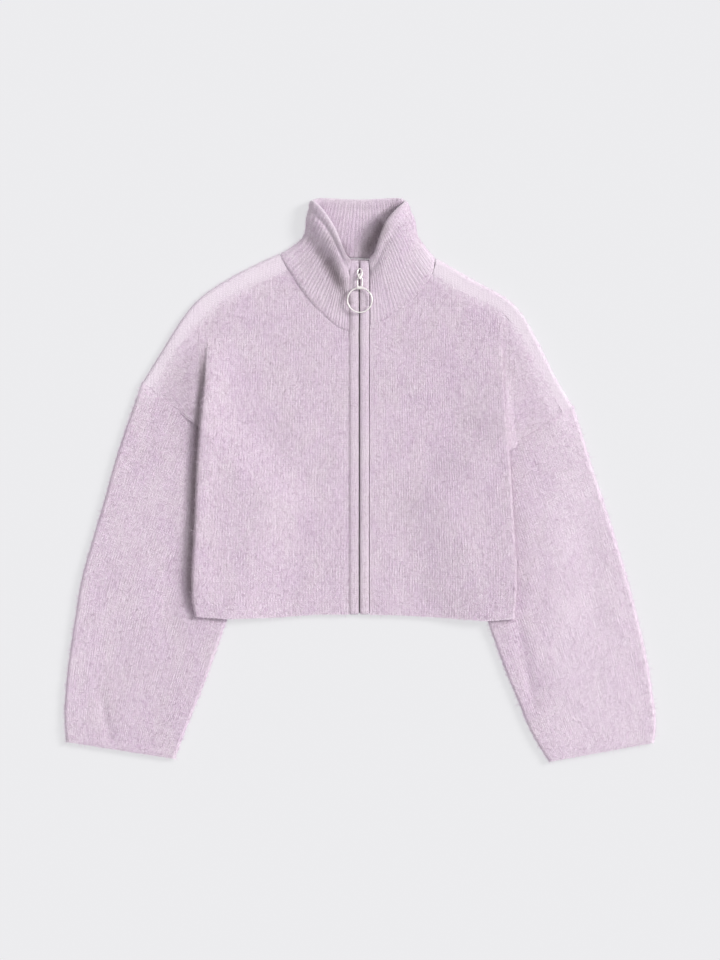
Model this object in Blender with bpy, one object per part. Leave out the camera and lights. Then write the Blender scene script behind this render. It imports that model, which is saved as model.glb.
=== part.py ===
"""Cropped zip cardigan in brushed knit, laid flat with its front up.

Every cloth piece is a wall of one thickness.  Its plan comes from short tables
of stations in millimetres, read off the garment as it lies, and its height
from the layers beneath it: back, sleeve, front.  +X is the viewer's right, +Y
points to the collar and +Z away from the table.  "left" and "right" in the
names are the wearer's, so the left front lies at +X.
"""
import math

import bmesh
import bpy
import numpy as np

MM = 0.001                  # the tables and sizes below are in millimetres
LAY_CENTRE = (-1.3, 0.07)   # plan point that becomes the origin

# ---- driving dimensions -------------------------------------------------
CLOTH = 2.6                 # knit wall of body and sleeves
SEAM = 0.5                  # clearance between sewn pieces
ARMHOLE_GAP = 0.7           # the same, measured along Y at the slanting armhole
NECK_GAP = 1.0              # the same at the neck, where the ribs fan out
FLOOR_MID = CLOTH / 2       # middle of a layer that lies on the table
LOFT_MID = 7.0              # middle of a top layer over one bottom layer
LAYER = 3.4                 # rise for each layer that lies between
SIDE_MID = FLOOR_MID + 4 * LAYER   # front panel over back, sleeve and its turned edge
EDGE_TURN = 2.5             # the fold at a body side reaches this far in
EDGE_RETURN = 14.0          # width of the front's edge turned under
TUBE_REACH = 3.0            # a rounded edge of back or sleeve reaches this far out
RISE_INSET = 10.0           # the front's rise starts this far outside the tucked sleeve
RISE_FADE = 95.0            # and runs out over this width
RISE_LOW = 85.0             # full below this y, and gone RISE_SPAN above it
RISE_SPAN = 115.0
COVER_CLEAR = 12.0          # a sleeve stays lifted this far past the back's edge
COVER_FADE = 28.0           # and comes down to the table over this width
BAND_RISE = 2.5             # the bands climb this much
BAND_RISE_Y = 200.0         # from this y to the collar's top

ZIP_X = -1.6                # the zip lies a little off the middle
ZIP_GAP = 2.4               # the teeth show between the two bands
BAND_WIDTH = 12.4
BAND_THICK = 4.4
COLLAR_TOP_Y = 297.0        # collar's top edge at the zip
HEM_Y = -181.0              # hem at the zip

COLLAR_WALL = 3.0
RIB_COUNT = 84              # ribs round the collar
RIB_RELIEF = 0.8

TAPE_WIDTH = 9.0
TAPE_THICK = 0.8
CHAIN_WIDTH = 5.0
CHAIN_THICK = 1.6

SLIDER_Y = 278.5            # middle of the slider
SLIDER_SIZE = (8.4, 17.0, 1.8)
STEM_SIZE = (1.4, 8.0)      # the slider's neck between the bands
CROWN_WIDTH = 3.0
CROWN_THICK = 1.2
LINK_AXIS_Y = 273.2         # the link turns here, under the slider's crown
LINK_LIFT = 1.2             # its axis above the slider's plate
LINK_WIDTH = 8.0
LINK_BAR = 1.6
EYE_AXIS_Y = 260.0          # the ring turns here, in the link's barrel
BARREL_RADIUS = 2.4
BARREL_BORE = 1.65
BARREL_LENGTH = 7.0
RING_RADIUS = 16.6          # to the middle of its wire
RING_WIRE = 1.9

# ---- stations, in millimetres ------------------------------------------
# Each side: -1 is the wearer's right (-X), +1 the wearer's left (+X).
SIDES = {-1: "right", 1: "left"}

# front shoulder seam from the neck to the armhole: x, y
SHOULDER_SEAM = {
    -1: [(-99.5, 282.5), (-134, 268), (-170, 250), (-205, 226), (-228, 202),
         (-247, 178), (-265, 152), (-282.5, 124)],
    1: [(98.5, 278), (127, 259), (158, 245), (188, 229), (209, 205),
        (227, 176), (247, 139), (272, 92)],
}
# station numbers where the shoulder seam and its rolled edge get a column
SEAM_PLACES = [0, 0.6, 1.2, 1.8, 2.4, 3, 4, 5, 6, 7]
# rolled edge of the shoulder from the neck to the armhole: x, y
SHOULDER_EDGE = {
    -1: [(-112.5, 305), (-139, 293), (-176, 274), (-214, 249), (-238, 223),
         (-262, 186), (-281, 155), (-295, 132)],
    1: [(104, 298.5), (132, 282), (160, 266), (190, 250), (214, 229),
        (238, 189), (262, 140), (286, 100)],
}
# fold down the side of the body: y, x
BODY_FOLD = {
    -1: [(226, -205), (191, -207), (137, -211), (78, -217), (13, -221),
         (-82, -225), (-132, -228), (-163, -227), (-184, -223)],
    1: [(229, 188), (198, 188), (137, 192), (78, 196), (14, 201),
        (-53, 205), (-109, 209), (-154, 209), (-187, 206)],
}
# armhole seam: outer point, inner point, outward bow
ARMHOLE = {
    -1: ((-296, 131), (-130, -29), 11.0),
    1: ((287, 99), (119, -29), 7.0),
}
# sleeve stations from armhole to cuff: outer x, outer y, inner x, inner y
SLEEVE = {
    -1: [(-296, 131, -130, -29), (-312, 86, -136, -48), (-331, 29, -145, -78),
         (-346, -25, -156, -112), (-362, -79, -168, -148),
         (-377, -133, -180, -185), (-386, -187, -192, -220),
         (-395, -248, -207, -262), (-400, -300, -223, -303),
         (-400, -328, -240, -345), (-398, -353, -251, -376)],
    1: [(287, 99, 119, -29), (300, 57, 126, -50), (313, 15, 136, -80),
        (329, -33, 147, -115), (344, -80, 158, -150),
        (358, -127, 170, -187), (372, -180, 182, -221),
        (386, -241, 196, -259), (394, -290, 211, -295),
        (398, -325, 230, -340), (396, -354, 254, -380)],
}
# how far the sleeve reaches in under the front: y, reach from the fold
TUCK = {
    -1: [(-187, 46), (-106, 72), (-29, 93), (28, 41), (78, 0)],
    1: [(-187, 38), (-106, 66), (-29, 86), (28, 40), (70, 0)],
}
# hem line: x, y
HEM = [(-227, -184), (-184, -187), (-113, -185), (-63, -181), (-3, -181),
       (53, -182), (107, -185), (174, -190), (210, -187)]

# collar stations, from the wearer's right front round the back to the left
# front: x, y, z of seam, valley, crest and rim (z is the wall's middle)
COLLAR = [
    (-15.7, 200, 7.0, -15.7, 232, 7.4, -15.7, 265, 8.2, -15.7, 297, 9.5),
    (-34, 209, 7.2, -28, 250, 7.6, -24, 281, 13, -21, 303, 17),
    (-61, 233, 7.5, -41, 278, 7.8, -33, 304, 19, -28, 320, 24),
    (-80, 257, 8.0, -55, 299, 8.6, -44.5, 324, 22.5, -37, 340, 27),
    (-97, 283, 8.0, -67, 315, 9.5, -58, 341, 23, -50, 360, 25.5),
    (-107, 300, 6.5, -76.5, 325, 9.0, -70, 353, 16, -63, 374, 17),
    (-106, 304, 2.6, -76, 327, 4.5, -71.5, 354, 8, -66, 375, 8),
    (-86, 302, 1.5, -70, 330, 1.6, -62, 355, 1.9, -54, 379, 2.4),
    (-3, 300, 1.5, -3, 326, 1.5, -2, 352, 1.6, -1, 377, 1.8),
    (78, 297, 1.5, 66, 325, 1.6, 57, 352, 1.9, 50, 379, 2.4),
    (98, 298, 2.6, 75, 329, 4.5, 70, 351, 8, 60, 374, 8),
    (99, 294, 6.5, 77, 322, 10, 69.5, 350, 17, 58, 372, 17),
    (96, 279, 8.0, 76, 308, 11, 62, 338, 22, 46, 361, 25),
    (82, 258, 8.0, 63, 290, 11, 50, 322, 22, 35, 347, 26.5),
    (62, 238, 7.5, 48, 273, 10, 37, 304, 18, 27, 330, 23),
    (36, 219, 7.2, 30, 253, 8.5, 25, 283, 13, 20, 308, 15),
    (12.5, 208, 7.0, 12.5, 238, 7.4, 12.5, 268, 8.2, 12.5, 298, 9.5),
]


# ---- small helpers ------------------------------------------------------
def smooth_step(value):
    """0 below 0, 1 above 1, and an even S-curve between."""
    t = np.clip(value, 0.0, 1.0)
    return t * t * (3.0 - 2.0 * t)


def lookup(table, at):
    """Straight-line lookup in a table of (position, value) rows."""
    rows = np.array(sorted(table), float)
    return np.interp(at, rows[:, 0], rows[:, 1])


def resample(rows, count, even=True):
    """Walk a smooth curve through the rows and return count points on it."""
    rows = np.array(rows, float)
    padded = np.vstack([2 * rows[0] - rows[1], rows, 2 * rows[-1] - rows[-2]])
    spans = len(rows) - 1
    if even:
        steps = np.linalg.norm(np.diff(rows[:, :2], axis=0), axis=1)
        length = np.concatenate([[0.0], np.cumsum(steps)])
        place = np.interp(np.linspace(0, length[-1], count), length, np.arange(spans + 1))
    else:
        place = np.linspace(0, spans, count)
    index = np.minimum(place.astype(int), spans - 1)
    t = (place - index)[:, None]
    a, b, c, d = (padded[index + k] for k in range(4))
    return 0.5 * (2 * b + (c - a) * t + (2 * a - 5 * b + 4 * c - d) * t ** 2
                  + (3 * b - a - 3 * c + d) * t ** 3)


def lerp(a, b, t):
    """Straight mix of two points."""
    return np.asarray(a, float) * (1 - t) + np.asarray(b, float) * t


def material(name, colour, roughness, metallic=0.0):
    """A plain Principled material."""
    made = bpy.data.materials.new(name)
    made.use_nodes = True
    shader = made.node_tree.nodes["Principled BSDF"]
    shader.inputs["Base Color"].default_value = (*colour, 1.0)
    shader.inputs["Roughness"].default_value = roughness
    shader.inputs["Metallic"].default_value = metallic
    return made


def add_object(name, points, faces, surface, smooth=True):
    """Make a mesh object from points in millimetres, with its faces turned out."""
    mesh = bpy.data.meshes.new(name)
    shift = np.array([LAY_CENTRE[0], LAY_CENTRE[1], 0.0])
    mesh.from_pydata(((np.asarray(points, float) - shift) * MM).tolist(), [], faces)
    work = bmesh.new()
    work.from_mesh(mesh)
    bmesh.ops.recalc_face_normals(work, faces=work.faces)
    work.to_mesh(mesh)
    work.free()
    if smooth:
        mesh.shade_smooth()
    mesh.materials.append(surface)
    made = bpy.data.objects.new(name, mesh)
    PARTS.objects.link(made)
    return made


def grid_normals(grid, wrap=False):
    """Unit normals of a grid of points (rows, columns, 3)."""
    along = np.gradient(grid, axis=0)
    if wrap:
        across = np.roll(grid, -1, axis=1) - np.roll(grid, 1, axis=1)
    else:
        across = np.gradient(grid, axis=1)
    normal = np.cross(across, along)
    return normal / np.maximum(np.linalg.norm(normal, axis=2, keepdims=True), 1e-9)


def wall(name, outer, inner, surface, kept=None, wrap=False):
    """Close two matching grids into one wall with a rim on each open edge.

    kept marks the cells of the grid that are cloth; wrap joins the last
    column to the first, as on a sleeve.
    """
    rows, columns = outer.shape[:2]
    cells = columns if wrap else columns - 1
    if kept is None:
        kept = np.ones((rows - 1, cells), bool)
    inside = rows * columns
    edges = {}
    faces = []
    for row in range(rows - 1):
        for column in range(cells):
            if not kept[row, column]:
                continue
            after = (column + 1) % columns
            quad = [row * columns + column, row * columns + after,
                    (row + 1) * columns + after, (row + 1) * columns + column]
            faces.append(quad)
            faces.append([corner + inside for corner in reversed(quad)])
            for start, end in zip(quad, quad[1:] + quad[:1]):
                if (end, start) in edges:
                    del edges[(end, start)]
                else:
                    edges[(start, end)] = True
    for start, end in edges:
        faces.append([end, start, start + inside, end + inside])
    points = np.vstack([outer.reshape(-1, 3), inner.reshape(-1, 3)])
    used = sorted({corner for face in faces for corner in face})
    order = {corner: place for place, corner in enumerate(used)}
    faces = [[order[corner] for corner in face] for face in faces]
    return add_object(name, points[used], faces, surface)


# ---- where the seams run -----------------------------------------------
def collar_stations(places):
    """Seam, valley, crest and rim at station numbers, on smooth curves."""
    rows = np.array(COLLAR, float)
    dense = resample(rows, (len(rows) - 1) * 20 + 1, even=False)
    at = np.asarray(places, float) * 20
    return np.stack([np.interp(at, np.arange(len(dense)), dense[:, k])
                     for k in range(dense.shape[1])], axis=1)


def shifted(points, side, distance):
    """Move a plan curve sideways, away from collar and shoulder edge."""
    tangent = np.gradient(points, axis=0)
    tangent /= np.linalg.norm(tangent, axis=1, keepdims=True)
    return points + distance * side * np.stack([tangent[:, 1], -tangent[:, 0]], axis=1)


def neck_line(side, count):
    """Front neck seam from the band to the shoulder."""
    last = len(COLLAR) - 1
    places = np.linspace(0, 4, count) if side < 0 else np.linspace(last, last - 4, count)
    return collar_stations(places)[:, :2]


def seam_stations(table):
    """Points of a shoulder table at SEAM_PLACES, on a smooth curve."""
    rows = np.array(table, float)
    dense = resample(rows, (len(rows) - 1) * 20 + 1, even=False)
    return dense[[round(place * 20) for place in SEAM_PLACES]]


def fold_x(side, y):
    """Plan x of the fold down the side of the body."""
    return lookup(BODY_FOLD[side], y)


def armhole_point(side, share, bow_share=1.0, ends=None):
    """Point on the armhole seam, from the outer corner (0) to the underarm (1)."""
    outer, inner, bow = ARMHOLE[side]
    if ends is not None:
        outer, inner = ends
    outer = np.array(outer, float)
    inner = np.array(inner, float)
    run = inner - outer
    run_unit = run / np.linalg.norm(run)
    lift = side * np.array([run_unit[1], -run_unit[0]])
    share = np.asarray(share, float)[..., None]
    return outer + share * run + 4 * share * (1 - share) * bow * bow_share * lift


def armhole_crossing(side):
    """Share along the armhole seam where it meets the body's fold."""
    shares = np.linspace(0, 1, 401)
    points = armhole_point(side, shares)
    inside = side * (fold_x(side, points[:, 1]) - points[:, 0])
    return shares[np.argmax(inside > 0)]


# ---- heights of the layers ---------------------------------------------
def front_mid(side, x, y):
    """Middle height of the front: raised at the side, where a sleeve lies below."""
    inside = side * (fold_x(side, y) - x)
    reach = lookup(TUCK[side], y)
    beside = 1 - smooth_step((inside - reach + RISE_INSET) / RISE_FADE)
    below = 1 - smooth_step((y - RISE_LOW) / RISE_SPAN)
    return LOFT_MID + (SIDE_MID - LOFT_MID) * beside * below


def covered(side, x, y):
    """1 where the sleeve lies on the back, falling to 0 where it rests on the table."""
    outside = side * (x - fold_x(side, y))
    under_hem = lookup(HEM, x) - y
    return ((1 - smooth_step((outside - COVER_CLEAR) / COVER_FADE))
            * (1 - smooth_step((under_hem - COVER_CLEAR) / COVER_FADE)))


def band_mid(y):
    """Middle height of the zip bands, which rise with the collar."""
    climbed = (np.asarray(y, float) - BAND_RISE_Y) / (COLLAR_TOP_Y - BAND_RISE_Y)
    return LOFT_MID + BAND_RISE * np.clip(climbed, 0, 1)


# ---- cloth pieces -------------------------------------------------------
def front(side, surface):
    """One front panel: neck, shoulder seam, drop shoulder, turned side edge, hem."""
    upper, lower = 7, 10
    neck = shifted(neck_line(side, 9), side, NECK_GAP)
    shoulder = seam_stations(SHOULDER_SEAM[side])
    fold_place = SEAM_PLACES.index(3)
    start, end = shoulder[fold_place:fold_place + 2]
    turned = [lerp(start, end, k / 5) for k in (1, 2, 3, 4)]
    seam = np.vstack([shoulder[1:fold_place + 1], turned, shoulder[fold_place + 1:]])
    top = np.vstack([neck, shifted(seam, side, SEAM)])
    edge = len(neck) - 1 + fold_place                 # the column on the body's fold
    columns = len(top)
    drop_columns = len(shoulder) - fold_place - 1

    crossing = armhole_crossing(side)
    shares = np.concatenate([crossing - np.array([2, 4, 6, 9]) / 230,
                             np.linspace(crossing - 0.07, 0.085, drop_columns)])
    outer_ends = armhole_point(side, shares)
    middle_y = armhole_point(side, crossing)[1] + ARMHOLE_GAP
    edge_x = top[0, 0]
    share_x = (top[:, 0] - edge_x) / (top[edge, 0] - edge_x)
    step_flat = side * (top[edge:edge + 5, 0] - top[edge, 0])
    step_out = np.array([-EDGE_TURN, 0.0, 0.6, 1.4, 5.0])

    rows = upper + lower + 1
    grid = np.zeros((rows, columns, 3))
    kept = np.zeros((rows - 1, columns - 1), bool)
    for row in range(rows):
        if row <= upper:
            t = row / upper
            y = top[:edge + 1, 1] * (1 - t) + middle_y * t
        else:
            t = (row - upper) / lower
            hem_x = edge_x + share_x[:edge + 1] * (fold_x(side, HEM_Y) - edge_x)
            y = middle_y * (1 - t) + lookup(HEM, hem_x) * t
        x = edge_x + share_x[:edge + 1] * (fold_x(side, y[-1]) - edge_x)
        grid[row, :edge + 1] = np.stack([x, y, front_mid(side, x, y)], axis=1)
        high = front_mid(side, x[-1], y[-1])
        if row <= upper:
            turn = smooth_step(row / upper)
            outer = top[edge + 1:] * (1 - t) + outer_ends * t
            outer[:, 1] += ARMHOLE_GAP * t
            grid[row, edge + 1:, :2] = outer
            grid[row, edge + 1:, 2] = LOFT_MID
            step_high = np.array([high, high - LAYER / 2, (high + LOFT_MID) / 2,
                                  LOFT_MID + 0.175 * (high - LOFT_MID), LOFT_MID])
            fold = grid[row, edge:edge + 5]
            fold[:, 0] = (x[-1] + side * (step_flat * (1 - turn) + step_out * turn))
            fold[:, 2] = LOFT_MID * (1 - turn) + step_high * turn
            if row < upper:
                kept[row] = True
        else:
            under = high - LAYER
            grid[row, edge:edge + 4, 0] = x[-1] + side * np.array(
                [-EDGE_TURN, 0.0, -EDGE_TURN, -EDGE_RETURN])
            grid[row, edge:edge + 4, 1] = y[-1]
            grid[row, edge:edge + 4, 2] = [high, (high + under) / 2, under, under]
            grid[row, edge + 4:] = grid[row, edge + 3]
            kept[row - 1, :edge + (2 if row == upper + 1 else 3)] = True
    normal = -side * grid_normals(grid)
    normal[~np.isfinite(normal)] = 0
    outer = grid + normal * CLOTH / 2
    inner = grid - normal * CLOTH / 2
    return wall(f"front_{SIDES[side]}", outer, inner, surface, kept)


def turned_edge(centre, outward, low, high, angles):
    """Points of a half turn from a low layer to a high one: outer and inner skin."""
    middle = (low + high) / 2
    rise = (high - low) / 2
    skins = []
    for grow in (CLOTH / 2, -CLOTH / 2):
        across = (TUBE_REACH + grow) * np.cos(angles)[:, None] * outward
        z = middle + (rise + grow) * np.sin(angles)
        skins.append(np.column_stack([centre[0] + across[:, 0], centre[1] + across[:, 1], z]))
    return skins


def back(surface):
    """The back: flat on the table, wrapped over both shoulders to the front seam."""
    upper, lower = 5, 6
    angles = np.radians([45, 0, -45])
    columns = []
    fold = SEAM_PLACES.index(3)
    for side in (-1, 1):
        edge = seam_stations(SHOULDER_EDGE[side])
        seam = seam_stations(SHOULDER_SEAM[side])
        crossing = armhole_crossing(side)
        drops = armhole_point(side, np.linspace(crossing, 0.045, len(seam) - fold))
        cross_y = drops[0, 1]
        made = []
        for place in range(len(seam)):
            inward = seam[place] - edge[place]
            inward /= np.linalg.norm(inward)
            centre = edge[place] + inward * (TUBE_REACH + CLOTH / 2)
            if place < fold:
                share = centre[0] / fold_x(side, BODY_FOLD[side][0][0])
                middle = (share * (fold_x(side, cross_y) - side * 1.5), cross_y + ARMHOLE_GAP)
                low_x = share * (fold_x(side, HEM_Y) - side * 1.5)
            else:
                middle = drops[place - fold] + np.array([0, ARMHOLE_GAP])
                if place == fold:
                    middle = middle - np.array([side * 1.5, 0])
                low_x = fold_x(side, HEM_Y) - side * 1.5
            made.append((place <= fold, seam[place], centre, -inward, middle, low_x))
        columns.append(made)
    left = columns[0][::-1]
    right = columns[1]
    neck = []
    for station in (7, 7.5, 8, 8.5, 9):
        x, y = collar_stations([station])[0, :2]
        neck.append((True, None, np.array([x, y - 1.0]), None, None, None))

    every = left + neck + right
    wrap_rows = 2 + len(angles)
    rows = wrap_rows + 1 + upper + lower
    outer = np.zeros((rows, len(every), 3))
    inner = np.zeros_like(outer)
    kept = np.zeros((rows - 1, len(every) - 1), bool)
    left_mid = left[-1][4]
    right_mid = right[0][4]
    for column, (body, seam, start, outward, middle, low_x) in enumerate(every):
        is_neck = seam is None
        if is_neck:
            share = (start[0] - left_mid[0]) / (right_mid[0] - left_mid[0])
            middle = lerp(left_mid, right_mid, share)
            low_x = start[0]
            for row in range(wrap_rows):
                outer[row, column] = (*start, CLOTH)
                inner[row, column] = (*start, 0)
        else:
            for row, t in enumerate((0.0, 0.5)):
                x, y = lerp(seam, start, t)
                outer[row, column] = (x, y, LOFT_MID + CLOTH / 2)
                inner[row, column] = (x, y, LOFT_MID - CLOTH / 2)
            skins = turned_edge(start, outward, FLOOR_MID, LOFT_MID, angles)
            outer[2:wrap_rows, column] = skins[0]
            inner[2:wrap_rows, column] = skins[1]
        low = (low_x, lookup(HEM, low_x) + 2.0)
        for step in range(upper + 1):
            x, y = lerp(start, middle, step / upper)
            outer[wrap_rows + step, column] = (x, y, 0)
            inner[wrap_rows + step, column] = (x, y, CLOTH)
        for step in range(1, lower + 1):
            x, y = lerp(middle, low, step / lower)
            outer[wrap_rows + upper + step, column] = (x, y, 0)
            inner[wrap_rows + upper + step, column] = (x, y, CLOTH)
    for column in range(len(every) - 1):
        pair = every[column:column + 2]
        kept[wrap_rows:wrap_rows + upper, column] = True
        kept[:wrap_rows, column] = all(item[1] is not None for item in pair)
        kept[wrap_rows + upper:, column] = all(item[0] for item in pair)
    return wall("back", outer, inner, surface, kept)


def sleeve(side, surface):
    """A sleeve: a flattened tube, open at armhole and cuff."""
    stations, across = 19, 9
    angles = np.radians([-45, 0, 45])
    spine = resample(SLEEVE[side], stations, even=False)
    ring = 2 * across + 2 * len(angles)
    outer = np.zeros((stations, ring, 3))
    inner = np.zeros_like(outer)
    shares = np.linspace(0, 1, across)
    for station in range(stations):
        start, end = spine[station, :2], spine[station, 2:]
        run = (end - start) / np.linalg.norm(end - start)
        inset = TUBE_REACH + CLOTH / 2
        ends = (start + run * inset, end - run * inset)
        bow = max(0.0, 1 - station / 7)
        plan = armhole_point(side, shares, bow, ends)
        cover = covered(side, plan[:, 0], plan[:, 1])
        low = FLOOR_MID + LAYER * cover
        high = low + LAYER + (LOFT_MID - FLOOR_MID - LAYER) * (1 - cover)
        skins = []
        for grow in (CLOTH / 2, -CLOTH / 2):
            bottom = np.column_stack([plan, low - grow])[::-1]
            top = np.column_stack([plan, high + grow])
            skins.append([bottom, top])
        first = turned_edge(ends[0], -run, low[0], high[0], angles)
        last = turned_edge(ends[1], run, low[-1], high[-1], angles[::-1])
        outer[station] = np.vstack([skins[0][0], first[0], skins[0][1], last[0]])
        inner[station] = np.vstack([skins[1][0], first[1], skins[1][1], last[1]])
    return wall(f"sleeve_{SIDES[side]}", outer, inner, surface, wrap=True)


def collar(surface):
    """The ribbed collar: a band from one zip edge round the neck to the other."""
    count = RIB_COUNT * 2 + 1
    rows = 7
    valley = np.array(COLLAR, float)[:, 3:6]
    steps = np.linalg.norm(np.diff(valley, axis=0), axis=1)
    length = np.concatenate([[0], np.cumsum(steps)])
    places = np.interp(np.linspace(0, length[-1], count), length, np.arange(len(COLLAR)))
    table = collar_stations(places)
    grid = np.zeros((rows, count, 3))
    for column, keys in enumerate(table.reshape(count, 4, 3)):
        grid[:, column] = resample(keys, rows, even=False)
    normal = -grid_normals(grid)
    normal[0, :, :2] *= 0.3
    normal[:, [0, -1], 0] = 0
    normal /= np.linalg.norm(normal, axis=2, keepdims=True)
    ridge = np.where(np.arange(count) % 2 == 1, RIB_RELIEF, 0.0)
    fade = np.array([0.4, 1, 1, 1, 1, 1, 0.3])[:, None]
    upward = normal[:, :, 2:3]
    relief = (fade * ridge)[:, :, None]
    outer = grid + normal * (COLLAR_WALL / 2 + relief * smooth_step(upward * 2 + 1))
    inner = grid - normal * (COLLAR_WALL / 2 + relief * smooth_step(-upward * 2 - 1))
    outer[:, :, 2] = np.maximum(outer[:, :, 2], 0)
    return wall("collar", outer, inner, surface)


def swept(name, section, path, surface, smooth=True):
    """Carry a closed section (x, z offsets) along a path of (x, y, z) stations."""
    section = np.array(section, float)
    rings = [np.column_stack([x + section[:, 0], np.full(len(section), y), z + section[:, 1]])
             for x, y, z in path]
    size = len(section)
    faces = [list(range(size)), list(range(len(path) * size - size, len(path) * size))]
    for station in range(len(path) - 1):
        for corner in range(size):
            after = (corner + 1) % size
            low = station * size
            faces.append([low + corner, low + after, low + size + after, low + size + corner])
    return add_object(name, np.vstack(rings), faces, surface, smooth)


def zip_path(x, drop, start, end, count=12):
    """Stations along the zip at a depth below the bands' middle."""
    y = np.linspace(start, end, count)
    return [(x, at, float(band_mid(at)) - drop) for at in y]


def zip_and_bands(knit, tape_surface, teeth_surface):
    """The two knitted bands, the tapes under them and the row of teeth between."""
    turn = np.radians(np.arange(0, 360, 36))
    width = BAND_WIDTH / 2 * np.sign(np.cos(turn)) * np.abs(np.cos(turn)) ** 0.6
    thick = BAND_THICK / 2 * np.sign(np.sin(turn)) * np.abs(np.sin(turn)) ** 0.6
    width *= BAND_WIDTH / np.ptp(width)
    thick *= BAND_THICK / np.ptp(thick)
    tape_drop = BAND_THICK / 2 + 0.35 + TAPE_THICK / 2
    chain_drop = BAND_THICK / 2 + 0.3 + CHAIN_THICK / 2
    box = np.array([(-0.5, -0.5), (0.5, -0.5), (0.5, 0.5), (-0.5, 0.5)])
    for side, label in SIDES.items():
        band_x = ZIP_X + side * (ZIP_GAP + BAND_WIDTH) / 2
        swept(f"band_{label}", np.column_stack([width, thick]),
              zip_path(band_x, 0, HEM_Y, COLLAR_TOP_Y), knit)
        tape_x = ZIP_X + side * (CHAIN_WIDTH / 2 + 0.4 + TAPE_WIDTH / 2)
        swept(f"zip_tape_{label}", box * (TAPE_WIDTH, TAPE_THICK),
              zip_path(tape_x, tape_drop, HEM_Y + 2, COLLAR_TOP_Y - 5), tape_surface, False)
    swept("zip_teeth", box * (CHAIN_WIDTH, CHAIN_THICK),
          zip_path(ZIP_X, chain_drop, HEM_Y + 3, COLLAR_TOP_Y - 8), teeth_surface, False)


# ---- metal pieces -------------------------------------------------------
def extruded(name, outline, low, high, along, surface):
    """Extrude a closed plan outline (along Z) or side outline (along X)."""
    ring = []
    for level in (low, high):
        for a, b in outline:
            ring.append((a, b, level) if along == "Z" else (level, a, b))
    size = len(outline)
    faces = [list(range(size)), list(range(size, 2 * size))]
    faces += [[k, (k + 1) % size, size + (k + 1) % size, size + k] for k in range(size)]
    return add_object(name, ring, faces, surface, smooth=False)


def set_aside(piece):
    """Move a helper to the cutters, out of the model."""
    PARTS.objects.unlink(piece)
    CUTTERS.objects.link(piece)
    piece.hide_render = True
    piece.display_type = "WIRE"


def combine(piece, helper, operation):
    """Unite a piece with a helper, or cut it, by an exact Boolean."""
    set_aside(helper)
    cut = piece.modifiers.new(helper.name, "BOOLEAN")
    cut.operation = operation
    cut.solver = "EXACT"
    cut.object = helper


def cylinder(name, radius, length, centre, surface, sides=24):
    """A cylinder along X."""
    bpy.ops.mesh.primitive_cylinder_add(vertices=sides, radius=radius * MM, depth=length * MM,
                                        rotation=(0, math.pi / 2, 0))
    piece = bpy.context.object
    piece.name = name
    piece.location = [(c - s) * MM for c, s in zip(centre, (*LAY_CENTRE, 0))]
    for holder in piece.users_collection:
        holder.objects.unlink(piece)
    PARTS.objects.link(piece)
    piece.data.materials.append(surface)
    piece.data.shade_smooth()
    return piece


def slider(metal):
    """The slider: an oval plate on a stem, with a crown that holds the pull."""
    width, length, thick = SLIDER_SIZE
    plate_low = float(band_mid(SLIDER_Y)) + BAND_THICK / 2 + 0.5
    plate_top = plate_low + thick
    turn = np.radians(np.arange(0, 360, 15))
    oval = [(ZIP_X + width / 2 * math.cos(a), SLIDER_Y + length / 2 * math.sin(a)) for a in turn]
    piece = extruded("slider", oval, plate_low, plate_top, "Z", metal)
    chain_top = float(band_mid(SLIDER_Y)) - BAND_THICK / 2 - 0.3
    stem = [(ZIP_X + sx * STEM_SIZE[0] / 2, SLIDER_Y + sy * STEM_SIZE[1] / 2)
            for sx, sy in ((-1, -1), (1, -1), (1, 1), (-1, 1))]
    combine(piece, extruded("slider_stem", stem, chain_top + 0.4, plate_low + 0.4, "Z", metal),
            "UNION")
    foot = LINK_AXIS_Y - 2.0
    arch = [(foot, -0.5), (foot, 2.1), (foot + 1.2, 3.4), (foot + 5, 3.9),
            (foot + 9.5, 3.1), (foot + 12.5, -0.5)]
    path = resample(arch, 15)
    tangent = np.gradient(path, axis=0)
    tangent /= np.linalg.norm(tangent, axis=1, keepdims=True)
    aside = np.stack([-tangent[:, 1], tangent[:, 0]], axis=1) * CROWN_THICK / 2
    outline = [(y, plate_top + z) for y, z in np.vstack([path + aside, (path - aside)[::-1]])]
    crown = extruded("slider_crown", outline, ZIP_X - CROWN_WIDTH / 2, ZIP_X + CROWN_WIDTH / 2,
                     "X", metal)
    combine(piece, crown, "UNION")
    return plate_top + LINK_LIFT


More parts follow.
